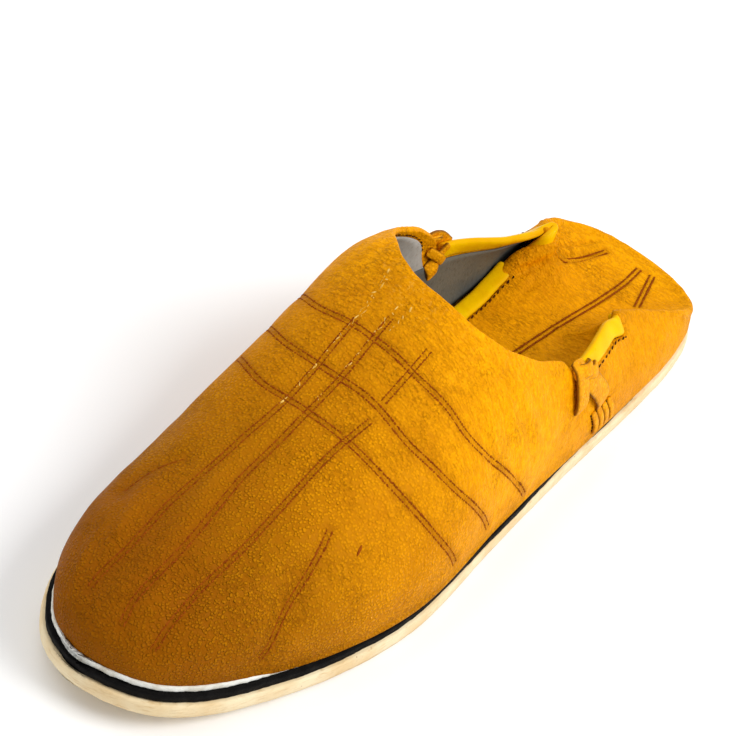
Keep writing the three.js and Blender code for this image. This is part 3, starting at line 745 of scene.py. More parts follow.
def grey_lining(name, pale, dull, worn):
    s = Shader(name, specular=0.3)
    base = s.mix(s.patches(18.0, 4.0, 0.3, 0.7), pale, dull)
    base = s.mix(s.patches(1.6, 4.0, 0.5, 0.72, 0.7, to=(0.0, 0.5)), base, worn)
    return s.finish(base, 0.7, s.bump(s.noise(1.1, 4.0, 0.6), 0.12))


LEATHER_LOOK = upper_leather()
STRAP_LOOK = strap_leather()
LINE_THREAD = thread("line_marks", linear(122, 52, 4), linear(150, 74, 8))
PALE_MARKS = thread("pale_marks", linear(232, 192, 104), linear(206, 150, 40))
STITCH_THREAD = thread("stitch_thread", linear(84, 36, 6), linear(50, 22, 6))
BINDING_LOOK = binding_leather()
CREPE_LOOK = crepe_rubber()
BLACK_LOOK = black_rubber()
WHITE_LOOK = white_layer()
INSOLE_LOOK = insole_leather()
LINING_LOOK = grey_lining("grey_lining", linear(180, 178, 172), linear(150, 147, 140),
                          linear(118, 112, 102))
# the same grey lining painted darker and browner as the shade inside the quarter's walls
SHADED_LINING_LOOK = grey_lining("grey_lining_painted_shade", linear(98, 94, 82), linear(72, 74, 72),
                                 linear(62, 54, 42))


# ---- sole ------------------------------------------------------------------------
EDGE_HEIGHTS = (0.0, 0.10, 0.3, 0.55, 0.8, 0.93, 1.0)  # shares of a sole layer's thickness
FACE_RING = 0.30  # a ring on each face of a layer, this share of the way to its middle


def layer_piece(name, inset, base, thick, material, slot, ragged, bulge, round_edge):
    """A sole layer: its outline lofted up its edge, and closed above and below.
    ragged says how far its cut edge and its top wander."""
    station = RING[:, 1]
    outline = inset_ring(RING, inset + ragged[0])
    low = base + spring(station)
    high = low + thick + ragged[1]
    middle = np.mean(edges_of(outline, np.clip(station, 0.5, SOLE_LENGTH - 1)), axis=0)
    face = outline + (np.stack([middle, station], -1) - outline) * FACE_RING
    rings = [(face, 0.0)]
    for up in EDGE_HEIGHTS:
        inward = round_edge if up in (0.0, 1.0) else -bulge * math.sin(math.pi * up)
        rings.append((inset_ring(outline, inward), up))
    rings.append((face, 1.0))
    grid = np.array([place(ring[:, 0], ring[:, 1], low + (high - low) * up) for ring, up in rings])
    make_piece(name, grid, tube_faces(len(grid), len(RING)), material, slot, (slot,))


def sole_layers():
    station = RING[:, 1]
    around = place(RING[:, 0], station, 0)
    fine, coarse = lumps(around, 1.6, 1), lumps(around, 9.0, 2)
    layer_piece("crepe_outsole", 0.15 - 0.12 * coarse, 0.0, OUTSOLE_THICK, CREPE_LOOK,
                "outsole", (0.10 * fine, 0.12 * coarse), bulge=0.25, round_edge=0.5)
    # the heel hides the black layer, and beside the arch it stands a little proud
    hidden = 2.4 * (1 - ramp(station, 38, 56))
    proud = 0.8 * bell(station - 132, 22) * (RING[:, 0] > 0)
    layer_piece("black_midsole", 1.2 + hidden - proud, MIDSOLE_BASE - 0.15,
                MIDSOLE_THICK + 0.3, BLACK_LOOK, "midsole",
                (0.16 * fine + 0.2 * coarse, 0.25 * fine), bulge=0.1, round_edge=0.2)
    # the white layer comes out and up only round the toe
    tip = ramp(station, 205, 245)
    worn_low = 1.7 * (1 - ramp(station, 224, 254))
    layer_piece("white_welt", 3.4 - 0.7 * tip, WELT_BASE - 0.05, WELT_THICK + 0.2,
                WHITE_LOOK, "welt", (0.22 * fine + 0.2 * coarse, 0.12 * fine - worn_low),
                bulge=0.15, round_edge=0.25)


def insole_piece():
    inner = inset_ring(RING, smooth(SEAT_INSET, RING[:, 1]) + LEATHER + 1.2)
    rows, cols = 150, 40
    back, front = inner[:, 1].min(), inner[:, 1].max()
    turn = np.linspace(0, math.pi, rows + 1)
    station = back + (front - back) * (1 - np.cos(turn)) / 2
    lateral, medial = edges_of(inner, station)
    share = np.linspace(0, 1, cols + 1)[None]
    x = medial[:, None] * (1 - share) + lateral[:, None] * share
    at = place(x, station[:, None], SEAT_BASE + INSOLE_THICK + spring(station)[:, None])
    at[..., 2] += 0.25 * lumps(at, 16.0, 3) + 0.08 * lumps(at, 3.0, 4)
    under = at.copy()
    under[..., 2] = SEAT_BASE + spring(station)[:, None] + 0.05
    make_piece("insole_leather", *shell(at, under), INSOLE_LOOK, "insole", ("insole",))


# ---- vamp ------------------------------------------------------------------------
def line_on_vamp(points, count=400):
    """A (station, angle) line as points of the vamp's skin, with their normals."""
    path = catmull(points, count)
    at = last_point(path[:, 0], np.radians(path[:, 1]))
    return at, skin_normal(path[:, 0], np.radians(path[:, 1]))


def pair_of(line, normals, apart=LINE_APART):
    along = unit(np.gradient(line, axis=0))
    across = unit(np.cross(normals, along))
    return line + across * apart / 2, line - across * apart / 2


def vamp_relief(at, station, degrees):
    """How far the vamp's skin stands out from the last: soft folds, puckers and sag."""
    foot = ramp(np.minimum(degrees, 180 - degrees), 2, 16)
    relief = 0.55 * lumps(at, 26.0, 5) + 0.22 * lumps(at, 9.0, 6)
    for middle, size, width in TOE_FOLDS:
        lean = middle + 7 * np.sin(station / 23.0 + middle)
        relief += 1.6 * size * bell(degrees - lean, width) * ramp(station, 190, 225) * (
            1 - ramp(station, 262, 274)) * (0.6 + 0.8 * lumps(at, 20.0, middle))
    for start, lean, depth in INSTEP_CREASES:
        bent = start + lean * (degrees - 20) + 2.0 * lumps(at, 12.0, start)
        relief -= 1.8 * depth * bell(station - bent, 1.4) * bell(degrees - 32, 13)
    # puckers that run forward from the collar
    start = smooth(COLLAR, degrees)
    back = 1 - ramp(station - start, 3, 26)
    pucker = np.sin(degrees * 0.62 + 3.0 * lumps(at, 18.0, 8)) * lumps(at, 7.0, 9)
    relief += 0.75 * pucker * back * ramp(station - start, 0.5, 4)
    relief -= 0.35 * np.abs(lumps(at * (1, 0.4, 1), 3.0, 10)) * back
    return relief * foot


VAMP_ROUND, VAMP_ALONG, VAMP_COARSE = 300, 224, 4  # steps, and outer steps to an inner one
RIM_STEPS, FOOT_STEPS = 6, 6


def vamp_skin(depth, cols):
    """A grid of the vamp's skin from the collar to the toe, its stations and degrees."""
    degrees = np.linspace(0, 180, VAMP_ROUND + 1)[:, None]
    start = smooth(COLLAR, degrees)
    share = np.sin(math.pi / 2 * (np.arange(cols + 1) / cols) ** 0.9)[None]
    station = start + (TOE_TIP - depth - start) * share
    degrees = np.broadcast_to(degrees, station.shape)
    return last_point(station, np.radians(degrees), depth), station, degrees


def vamp_feet(outer, station):
    """The foot of the leather on each side, pulled down over the sole's edge."""
    feet = []
    for row, side, inward in ((0, "lateral", -1.0), (VAMP_ROUND, "medial", 1.0)):
        drop = smooth(SKIRT[side], station[row])
        for share in np.arange(1, FOOT_STEPS + 1) / FOOT_STEPS:
            tuck = 0.5 * share**2 - 0.45 * math.sin(math.pi * share)
            across = inward * tuck * np.minimum(drop, 2) / 2
            feet.append(outer[row] + np.stack([across, 0 * drop, -drop * share], -1))
    return np.array(feet[:FOOT_STEPS][::-1]), np.array(feet[FOOT_STEPS:])


def vamp_faces():
    """Faces of the outer skin with its feet, of the inner skin and of the collar's rim,
    and those that join them at the collar, the toe and the feet."""
    rows, cols = VAMP_ROUND + 1 + 2 * FOOT_STEPS, VAMP_ALONG + 1
    in_rows, in_cols = VAMP_ROUND + 1, VAMP_ALONG // VAMP_COARSE + 1
    inner, rim = rows * cols, rows * cols + in_rows * in_cols
    rim_rows = RIM_STEPS - 1
    last_rim = rim + (rim_rows - 1) * in_rows
    faces = grid_faces(rows, cols) + grid_faces(in_rows, in_cols, inner)
    faces += grid_faces(rim_rows, in_rows, rim)
    for i in range(VAMP_ROUND):
        here, after = (i + FOOT_STEPS) * cols, (i + 1 + FOOT_STEPS) * cols
        in_here, in_after = inner + i * in_cols, inner + (i + 1) * in_cols
        faces.append([here, after, rim + i + 1, rim + i])
        faces.append([last_rim + i, last_rim + i + 1, in_after, in_here])
        faces.append([after - 1, after + cols - 1, in_after + in_cols - 1, in_after - 1])
    for row, in_row in ((0, 0), (rows - 1, VAMP_ROUND)):
        for j in range(in_cols - 1):
            first = row * cols + j * VAMP_COARSE
            k = inner + in_row * in_cols + j
            faces.append([first + m for m in range(VAMP_COARSE + 1)] + [k + 1, k])
    for end, step in ((0, -1), (VAMP_ROUND, 1)):
        foot = [(end + FOOT_STEPS + step * m) * cols for m in range(FOOT_STEPS, -1, -1)]
        up_rim = [rim + r * in_rows + end for r in range(rim_rows)]
        faces.append(foot + up_rim + [inner + end * in_cols])
    return faces


def vamp_piece():
    tooled = [(n, deep, *line_on_vamp(p)) for n, deep, p in TOOLED_LINES.values()]
    at, station, degrees = vamp_skin(0.0, VAMP_ALONG)
    normal = grid_normals(at)
    if normal[VAMP_ROUND // 2, VAMP_ALONG // 3, 2] < 0:
        normal = -normal
    relief = vamp_relief(at, station, degrees)
    groove = np.zeros(station.shape)
    for _, deep, line, _ in tooled:
        away = nearest(at, line)
        relief -= 0.24 * deep * bell(away, 1.2)
        # at the toe each pair of lines lies in a wider trough, and the trough is painted darker as
        # shade
        relief -= 1.3 * deep * bell(away, 3.4) * ramp(station, 200, 226)
        wide = 0.6 * deep * bell(away, 2.6) * ramp(station, 200, 222)
        groove = np.maximum.reduce([groove, deep * bell(away, 1.3), wide])
    outer = at + normal * relief[..., None]

    inner, in_station, in_degrees = vamp_skin(LEATHER, VAMP_ALONG // VAMP_COARSE)
    in_relief = np.minimum(vamp_relief(inner, in_station, in_degrees), 0.2)
    in_normal = grid_normals(inner)
    in_normal = in_normal * np.sign(in_normal[VAMP_ROUND // 2, 5, 2])
    inner = inner + in_normal * in_relief[..., None]

    # the collar's turned edge, a half round from the outer to the inner skin
    first, last = outer[:, 0], inner[:, 0]
    back = unit(outer[:, 0] - outer[:, 3])
    rim = np.array([
        (first + last) / 2 + (first - last) / 2 * math.cos(t) + back * 0.95 * math.sin(t)
        for t in math.pi * np.arange(1, RIM_STEPS) / RIM_STEPS
    ])
    below, beyond = vamp_feet(outer, station)
    top = np.concatenate([below, outer, beyond])
    points = np.concatenate([part.reshape(-1, 3) for part in (top, inner, rim)])

    rest = np.zeros(len(points) - top[..., 0].size)
    near_collar = 1 - ramp(station - smooth(COLLAR, degrees), 2, 16)
    low = 1 - ramp(np.minimum(degrees, 180 - degrees), 0, 5)
    pad = np.zeros(below.shape[:2])
    shades = {
        "groove": (pad + groove[:1], groove, pad + groove[-1:]),
        "wear": (pad, 0.30 * near_collar * bell(degrees - 95, 16), pad),
        # painted shade on the hanging foot of the leather and along the seat
        "shade": (pad + 0.3, 0.25 * low, pad + 0.3),
    }
    shades = {key: np.r_[np.concatenate(rows).ravel(), rest] for key, rows in shades.items()}
    make_piece("vamp", points, vamp_faces(), LEATHER_LOOK, "upper", ("upper",), shades)
    vamp_marks(tooled, at, outer)


def vamp_marks(tooled, at, outer):
    """The marks along the tooled lines, the rubbed strokes and the small cut."""
    parts = []
    for count, deep, line, normals in tooled:
        for side in pair_of(line, normals) if count == 2 else [line]:
            lie = on_skin(side, at, outer) + normals * 0.03
            parts.append(dashes(lie, normals, 0.95, 0.92, 0.40 + 0.15 * deep, 0.16, jitter=0.25))
    make_piece("vamp_line_marks", *join(parts), LINE_THREAD, "upper")
    parts = []
    for path in RUBBED_LINES:
        line, normals = line_on_vamp(path, 60)
        lie = on_skin(line, at, outer) - normals * 0.02
        parts.append(dashes(lie, normals, 1.9, 1.3, 0.36, 0.2, jitter=0.6))
    make_piece("vamp_rubbed_marks", *join(parts), PALE_MARKS, "upper")
    line, normals = line_on_vamp(NICK, 40)
    cut = dashes(on_skin(line, at, outer), normals, 4.0, 3.6, 0.9, 0.5, jitter=0.0)
    make_piece("vamp_nick", *cut, LINE_THREAD, "upper")


def on_skin(line, plain, worked):
    """A line on a plain surface moved to where that surface went when it was worked."""
    tree = tree_of(plain.reshape(-1, 3).tolist())
    moved = (worked - plain).reshape(-1, 3)
    return np.array([p + moved[tree.find(p)[1]] for p in np.asarray(line)])


# ---- quarter ---------------------------------------------------------------------
def lean_at(side, station, height):
    """How far the quarter's wall leans in at a height over the seat."""
    s = np.maximum(station, 15)
    lateral, medial = edges_of(SEAT, s)
    edge = lateral if side == "lateral" else medial
    reach = np.abs(edge - section("crest", s))
    roundness = section(side + "_round", s)
    share = np.clip(height / section("rise", s), 0, 1)
    flank = np.arcsin(share ** (roundness / 2))
    swell = section(side + "_swell", s) * np.sin(2 * flank)
    return reach * (1 - np.cos(flank) ** (2 / roundness)) - swell


WALL_SPAN = 80 / 416  # the ring's share, each way from the heel, that the wall may need


def wall_path():
    """Feet of the wall from the medial end round the heel to the lateral end."""
    n = len(SEAT)
    span = int(n * WALL_SPAN)
    path = []
    for k in range(-span, span + 1):
        i = k % n
        along = unit(SEAT[(i + 1) % n] - SEAT[(i - 1) % n])
        side = "medial" if k < 0 else "lateral"
        if SEAT[i, 1] <= WALL_END:
            path.append((SEAT[i], np.array([-along[1], -along[0], 0.0]), side))
    return path


WALL_PATH = wall_path()


def wall_top(side, station):
    return smooth(WALL_TOP[side], station)


def wall_point(spot, height, depth=0.0):
    foot, inward, side = spot
    lean = lean_at(side, foot[1], height) + depth
    at = place(foot[0], foot[1], SEAT_BASE + spring(foot[1]) + height)
    return at + inward * np.reshape(lean, (-1, 1)) if np.ndim(height) else at + inward * lean


def crease_line():
    """The line where the trodden heel turns in, from the medial to the lateral bend."""
    spots = [w for w in WALL_PATH if w[0][1] <= BEND[w[2]] + 1]
    return np.array([
        wall_point(w, wall_top(w[2], w[0][1]) - CREASE_RADIUS + 0.3, LEATHER / 2 + 0.3)
        for w in spots
    ])


CREASE = crease_line()


def flap_binding(side, station):
    """The binding's middle line on a free edge of the flap, and the way into the leather."""
    rows = np.array(FLAP_BINDING[side], float)
    key = rows[:, 0]
    tilt = math.radians(float(smooth(np.stack([key, rows[:, 3]], -1), station)))
    x = float(smooth(np.stack([key, rows[:, 1]], -1), station))
    at = place(x, station, SEAT_BASE + smooth(np.stack([key, rows[:, 2]], -1), station))
    inward = unit(np.array([-x, max(station - FLAP_TURN, 0.0), 0.0]))
    return at, inward * math.sin(tilt) - np.array([0, 0, math.cos(tilt)])


def flap_edge(side, station):
    """x and height of the flap's leather at its side: on the crease or by the binding."""
    if station >= BEND[side] + 2:
        at, into = flap_binding(side, station)
        edge = at + into * (BINDING_WIDTH / 2 + 0.1)
        return edge[0], edge[2] - SEAT_BASE + LEATHER / 2
    middle = CREASE[:, 1].argmax()
    line = CREASE[middle:] if side == "lateral" else CREASE[: middle + 1][::-1]
    y = SOLE_LENGTH / 2 - station
    order = np.argsort(line[:, 1])
    x, z = (np.interp(y, line[order, 1], line[order, k]) for k in (0, 2))
    return x, z - SEAT_BASE + CREASE_RADIUS - 0.5


def flap_point(station, share):
    """The flap's upper face, share 0 at the lateral edge and 1 at the medial."""
    lateral, medial = (flap_edge(side, station) for side in ("lateral", "medial"))
    x = lateral[0] + (medial[0] - lateral[0]) * share
    height = np.full(np.shape(x), FLAP_FLOOR)
    for edge_x, edge_height in (lateral, medial):
        away = np.clip(np.abs(x - edge_x) / FLAP_SLOPE_WIDTH, 0, 1)
        height = height + max(edge_height - FLAP_FLOOR, 0) * (1 - away) ** 2
    return place(x, station, SEAT_BASE + height)


FLAP_LINES = {  # (station, x) along the flap
    "pair_a": [(84, 3.4), (55, 4.6), (34, 6.1), (20, 6.4), (9, 5.4)],
    "pair_b": [(27, 17.1), (18, 14.0), (8, 10.6)],
    "pair_c": [(37, -17.2), (30, -14.2), (20.5, -10.6), (11, -8.0)],
}
FLAP_FOLDS = {  # creases that run out from the medial bend: (station, x), depth
    "fold_a": ([(46, -21.5), (34, -18.5), (22, -13.5), (12, -8.0)], 0.5),
    "fold_b": ([(45, -22.5), (32, -20.5), (20, -17.5), (12, -14.5)], 0.45),
    "fold_c": ([(48, -18.5), (38, -14.5), (30, -12.5)], 0.3),
    "fold_d": ([(58, -12.0), (48, -13.5), (40, -16.0)], 0.25),
}


BEND_ROLL = [  # station, x, height over the seat, radius
    (33.0, -18.5, 13.0, 2.2), (36.5, -17.8, 13.0, 3.2), (40.5, -19.6, 11.4, 3.4),
    (45.0, -22.0, 9.2, 3.3), (49.0, -23.2, 6.8, 3.0), (53.0, -23.4, 4.8, 2.0),
]


def flap_grid(rows=110, cols=70):
    back = SOLE_LENGTH / 2 - CREASE[:, 1].max() + 0.4
    front = FLAP_BINDING["lateral"][-1][0] - BINDING_WIDTH / 2 - 0.1
    station = back + (front - back) * (np.arange(rows + 1) / rows) ** 1.3
    share = np.arange(cols + 1) / cols
    return np.array([flap_point(s, share) for s in station])


def upward_normals(grid):
    normal = grid_normals(grid)
    return normal * np.where(normal[..., 2:3] < 0, -1, 1)


def on_grid(points, grid):
    """(station, x) points set on a grid's surface, with its normals there."""
    path = catmull(np.array(points, float), 160)
    want = place(path[:, 1], path[:, 0], 0)
    flat = grid.reshape(-1, 3)
    normal = upward_normals(grid).reshape(-1, 3)
    tree = tree_of([(x, y, 0) for x, y, _ in flat.tolist()])
    heights, ups = [], []
    for p in want.tolist():
        near = tree.find_n(p, 4)
        weight = np.array([1 / (d + 0.05) for _, _, d in near])
        index = [i for _, i, _ in near]
        heights.append((flat[index, 2] * weight).sum() / weight.sum())
        ups.append((normal[index] * weight[:, None]).sum(0))
    want[:, 2] = heights
    return want, unit(np.array(ups))


def tube(line, radius, around=12):
    line = np.asarray(line)
    along = unit(np.gradient(line, axis=0))
    wide = unit(np.cross([0, 0, 1.0], along))
    thin = unit(np.cross(along, wide))
    return sweep(line, wide * radius, thin * radius, around, power=2.0, tips=3)


WALL_STEPS, HEM_STEPS = 22, 5


def quarter_wall(depth):
    """A grid of the quarter's wall, from its hem over the sole to its top."""
    rows = []
    for spot in WALL_PATH:
        foot, inward, side = spot
        bound = BEND[side] + 1 < foot[1] < BINDING_END[side] + 1
        top = wall_top(side, foot[1]) - (BINDING_WIDTH - 0.8 if bound else 0)
        up = wall_point(spot, top * np.arange(WALL_STEPS + 1) / WALL_STEPS, depth)
        drop = float(smooth(SKIRT[side], foot[1]))
        hem = [
            up[0] - np.array([0, 0, drop * share])
            + inward * (0.35 * share**2 - 0.3 * math.sin(math.pi * share))
            for share in np.arange(HEM_STEPS, 0, -1) / HEM_STEPS
        ]
        rows.append(np.vstack([hem, up]))
    return np.array(rows)


def one_sheet(piece, voxel_mm):
    """The piece's overlapping closed forms made into one smooth skin. Gives its mesh."""
    remesh = piece.modifiers.new("one_sheet", "REMESH")
    remesh.mode, remesh.voxel_size = "VOXEL", voxel_mm / 1000
    soften = piece.modifiers.new("soften", "SMOOTH")
    soften.factor, soften.iterations = 0.5, 5
    graph = bpy.context.evaluated_depsgraph_get()
    made = bpy.data.meshes.new_from_object(piece.evaluated_get(graph))
    piece.modifiers.clear()
    old = piece.data
    piece.data = made
    bpy.data.meshes.remove(old)
    made.name = piece.name
    return made


def read_points(mesh, what):
    values = np.empty(len(mesh.vertices) * 3, np.float32)
    mesh.vertices.foreach_get(what, values)
    return values.reshape(-1, 3).astype(float)


def quarter_piece():
    """Wall, turned-in flap, crease and gathered roll, as one sheet with its creases."""
    top = flap_grid()
    crease = tube(catmull(CREASE, 260), 1.75)
    path = catmull(np.array(BEND_ROLL, float), 60)
    gathered = tube(place(path[:, 1], path[:, 0], SEAT_BASE + path[:, 2]), path[:, 3:4])
    forms = join([
        shell(quarter_wall(0.1), quarter_wall(LEATHER + 0.1)),
        shell(top, top - upward_normals(top) * LEATHER),
        crease,
        gathered,
    ])
    made = one_sheet(make_piece("quarter", *forms, LEATHER_LOOK, "upper"), 0.72)
    at = read_points(made, "co") * 1000 + (MIDDLE_X, 0, 0)
    normal = read_points(made, "normal")
    station = SOLE_LENGTH / 2 - at[:, 1]
    up_face = ramp(normal[:, 2], 0.1, 0.5)
    relief = 0.28 * lumps(at, 14.0, 20) + 0.16 * lumps(at, 5.0, 21)
    groove, folds = np.zeros(len(at)), np.zeros(len(at))
    marks = []
    for points in FLAP_LINES.values():
        line, ups = on_grid(points, top)
        for side in pair_of(line, ups, 1.8):
            away = nearest(at, side)
            groove = np.maximum(groove, bell(away, 0.5) * up_face)
            relief -= 0.28 * bell(away, 0.55) * up_face
            marks.append((side, ups))
    for points, depth in FLAP_FOLDS.values():
        away = nearest(at, on_grid(points, top)[0])
        relief -= depth * bell(away, 0.8) * up_face
        relief += depth * 0.7 * bell(away - 2.4, 1.1) * up_face
        # the folds are also painted darker as shade
        folds = np.maximum(folds, bell(away, 0.8) * depth)
    # wrinkles that fan out round the medial bend
    bend = CREASE[0]
    around = np.arctan2(at[:, 1] - bend[1] - 6, at[:, 0] - bend[0] - 8)
    close = bell(np.linalg.norm((at - bend)[:, :2], axis=1), 9.0)
    relief += 0.45 * np.sin(around * 17 + 2 * lumps(at, 7.0, 22)) * close * up_face
    ridge_line = catmull(CREASE, 300)
    relief += 0.22 * lumps(at, 4.0, 23) * bell(nearest(at, ridge_line), 2.2)
    foot = ramp(at[:, 2] - SEAT_BASE - spring(station), -5, -3)
    at = at + normal * (relief * foot)[:, None]
    made.vertices.foreach_set("co", in_metres(at).astype(np.float32).ravel())
    lateral, medial = edges_of(SEAT, np.clip(station, 2, 270))
    edge_gap = np.minimum(lateral - at[:, 0], at[:, 0] - medial)
    # painted shade over the flap's middle, away from its edges
    sunken = up_face * ramp(edge_gap, 6, 12) * ramp(station, 12, 45)
    ridge = bell(nearest(at, ridge_line + (0, 0, CREASE_RADIUS)), 1.6)
    set_shades(made, {
        # the flap's tooled lines, where the dye lies, and painted shade in its folds
        "groove": groove + 0.8 * folds,
        "wear": 0.12 * ridge,
        # painted shade low down by the hem and over the flap's middle
        "shade": 0.30 * (1 - ramp(at[:, 2], 6, 10)) + 0.16 * sunken,
    })
    made.polygons.foreach_set("use_smooth", [True] * len(made.polygons))
    made.update()
    parts = [dashes(line, ups, 0.9, 1.1, 0.75, 0.2, jitter=0.14) for line, ups in marks]
    make_piece("flap_line_marks", *join(parts), LINE_THREAD, "upper")


# ---- binding ---------------------------------------------------------------------
def binding_side(side):
    """Middle line on one side from the knot to the flap's front, with the way in."""
    spots = [w for w in WALL_PATH
             if w[2] == side and BEND[side] + 2 <= w[0][1] <= BINDING_END[side]]
    spots.sort(key=lambda w: -w[0][1])
    line, ins = [], []
    for spot in spots[::4]:
        height = wall_top(side, spot[0][1]) - BINDING_WIDTH / 2
        at = wall_point(spot, height, LEATHER / 2)
        line.append(at)
        ins.append(unit(wall_point(spot, height - 1, LEATHER / 2) - at))
    rows = FLAP_BINDING[side]
    flap = [flap_binding(side, s) for s in np.arange(rows[0][0], rows[-1][0] + 0.1, 3)]
    start, start_in = line[-1], ins[-1]
    end, end_in = flap[0]
    for k in range(1, 5):
        turn = math.pi * k / 5
        at = start + (end - start) * (1 - math.cos(turn)) / 2
        at[1] += BEND_DEPTH[side] * math.sin(turn)
        line.append(at)
        ins.append(unit(start_in + (end_in - start_in) * k / 5))
    return line + [a for a, _ in flap], ins + [i for _, i in flap]


# The gathered roll hides the binding between these stations of the flap's medial edge,
# and past it the strip is tucked down under the bend.
ROLLED_FROM, ROLLED_TO = 50.0, 42.0
TUCK_FROM, TUCK_DEPTH = 36.0, 3.5
# The near wall's strip and the flap's strip stop this far in front of the lateral bend.
NEAR_STRIP_PAST, FLAP_STRIP_PAST = 1.2, 8.0
BINDING_AROUND = 22
# On the walls the stitches stop at this station, where the knots begin.
STITCHED_TO = 83.0


def binding_frames(count=420):
    lateral, lateral_in = binding_side("lateral")
    medial, medial_in = binding_side("medial")
    line = np.array(lateral + medial[::-1])
    ins = np.array(lateral_in + medial_in[::-1])
    both = catmull(np.hstack([line, ins * 4.0]), count)
    line, into = both[:, :3], unit(both[:, 3:])
    along = unit(np.gradient(line, axis=0))
    thin = unit(np.cross(along, into))
    wide = unit(np.cross(thin, along))
    return line, wide, thin


def binding_strips(line, station):
    """Which points belong to the near wall's, the flap's and the far wall's strip, and
    which lie on the flap or the near wall."""
    order = np.arange(len(line))
    second_half, medial = order >= len(line) // 2, line[:, 0] < 0
    fold = np.where(second_half, np.inf, station).argmin()
    flap_side = medial & (order > len(line) // 2)
    before_turn = order < np.where(flap_side, station, np.inf).argmin()
    near = (order < fold) & (station > BEND["lateral"] + NEAR_STRIP_PAST)
    flap = (order > fold) & before_turn & ~(flap_side & (station < ROLLED_FROM))
    flap &= medial | (station > BEND["lateral"] + FLAP_STRIP_PAST)
    far = ~before_turn | (flap_side & (station < ROLLED_TO))
    return near, flap, far, before_turn


def binding_piece():
    line, wide, thin = binding_frames()
    station = SOLE_LENGTH / 2 - line[:, 1]
    near, flap, far, before_turn = binding_strips(line, station)
    bands, shades, stitches = [], [], []
    for chosen in (near, flap, far):
        at, w, t = line[chosen].copy(), wide[chosen], thin[chosen]
        tucked = before_turn[chosen] & (at[:, 0] < 0) & (station[chosen] < ROLLED_TO)
        at[:, 2] -= TUCK_DEPTH * tucked * ramp(station[chosen], TUCK_FROM, ROLLED_TO)
        width = BINDING_WIDTH / 2 + 0.16 * lumps(at, 9.0, 30)
        thick = BINDING_THICK / 2 + 0.10 * lumps(at, 7.0, 31)
        band = sweep(at, w * width[:, None], t * thick[:, None], BINDING_AROUND, power=3.0)
        bands.append(band)
        # painted shade on the strip's edges
        shades.append(edge_shade(band[0], BINDING_AROUND, 6))
        # the row of saddle stitches beside it, on the leather's outer face
        row = at + w * (BINDING_WIDTH / 2 + 1.1) - t * (LEATHER / 2 + 0.15)
        clear = (station[chosen] < STITCHED_TO) | (chosen is flap)
        stitches.append(dashes(row[clear], -t[clear], STITCH_PITCH, 1.7, 0.62, 0.5, slant=0.3,
                               jitter=0.10))
    make_piece("topline_binding", *join(bands), BINDING_LOOK, "binding", ("binding",),
               {"edge": np.concatenate(shades)})
    make_piece("binding_stitches", *join(stitches), STITCH_THREAD, "binding")


# ---- knots -----------------------------------------------------------------------
def flank_point(side, station, height, out=0.0):
    """A point on the vamp's flank at a height over the seat, moved out, and its normal."""
    share = np.clip(height / section("rise", station), 0, 1)
    flank = np.arcsin(share ** (section(side + "_round", station) / 2))
    angle = flank if side == "lateral" else math.pi - flank
    at, normal = last_point(station, angle), skin_normal(station, angle)
    return at + normal * np.reshape(out, (-1, 1)), normal


def strap_band(side, path, width, thick=1.7, count=70, around=18):
    """A leather band on the flank, along (station, height, lift) points, and the mask of painted
    shade on its edges.
    """
    p = catmull(np.array(path, float), count)
    at, normal = flank_point(side, p[:, 0], p[:, 1], p[:, 2])
    along = unit(np.gradient(at, axis=0))
    wide = unit(np.cross(along, normal))
    thin = unit(np.cross(wide, along))
    w = width / 2 * (1 + 0.07 * lumps(at, 4.0, 40 + width))
    band = sweep(at, wide * w[:, None], thin * thick / 2, around, power=2.8, tips=4)
    return band, edge_shade(band[0], around, 8)


# Bands of each knot: their widths and (station, height over the seat, lift) points. They
# are more, and reach farther down the flank, than the part's straps and ties.
KNOTS = {
    "lateral": {
        "strap_lateral": [
            (7.5, ((96.6, 17.6, 0.6), (96.6, 19.5, 1.4), (96.4, 23, 1.8), (96.0, 27, 1.8),
                   (95.4, 30.2, 1.6), (95.0, 32.4, 0.3))),
            (5.0, ((97.4, 30.6, 0.3), (94.0, 29.4, 2.4), (90.5, 28.4, 2.3), (88.0, 27.6, 0.3))),
        ],
        "tie_lateral": [
            (4.6, ((96.0, 28.0, 0.1), (91.5, 27.4, 1.9), (88.0, 26.0, 2.1), (84.5, 25.4, 0.9))),
            (8.4, ((93.5, 26.0, 0.4), (89.5, 23.5, 1.4), (85.5, 19.0, 1.4), (82.0, 14.0, 0.9),
                   (80.8, 11.5, 0.0))),
        ],
    },
    "medial": {
        "strap_medial": [
            (7.5, ((89.0, 15.5, 0.5), (89.6, 18, 1.2), (90.4, 23, 1.75), (90.6, 29, 1.8),
                   (90.2, 33.5, 1.6), (89.8, 37.0, -0.6))),
        ],
        "tie_medial": [
            (7.0, ((92.5, 36.2, 0.2), (88.5, 34.6, 1.4), (84.5, 32.0, 1.5), (80.5, 28.0, 1.0))),
            (7.6, ((88.0, 25.5, 0.4), (84.0, 23.0, 1.3), (80.0, 18.0, 1.3), (77.5, 12.0, 0.9),
                   (76.8, 9.0, 0.0))),
        ],
    },
}
# Feet of the ridges that the side seam's thread draws up, and how they rise.
SEAM_RIDGES = {"lateral": (83.0, 79.8, 76.6, 73.4), "medial": (80.0, 76.6, 73.2, 69.8)}
RIDGE_HEIGHT, RIDGE_WIDTH, THREAD_AWAY = 9.5, 2.5, 1.7
# The straps' ends on the inner face: (station, height, depth) points and widths.
INNER_ENDS = [
    (3.6, ((83.5, 32.5, 0.4), (87.0, 29.5, 1.0), (91.5, 25.5, 0.4))),
    (3.6, ((92.0, 33.0, 0.6), (88.0, 29.5, 1.7), (84.0, 25.0, 0.6))),
    (6.0, ((90.5, 27.0, 0.6), (89.5, 24.0, 1.4), (88.5, 20.5, 0.5))),
]


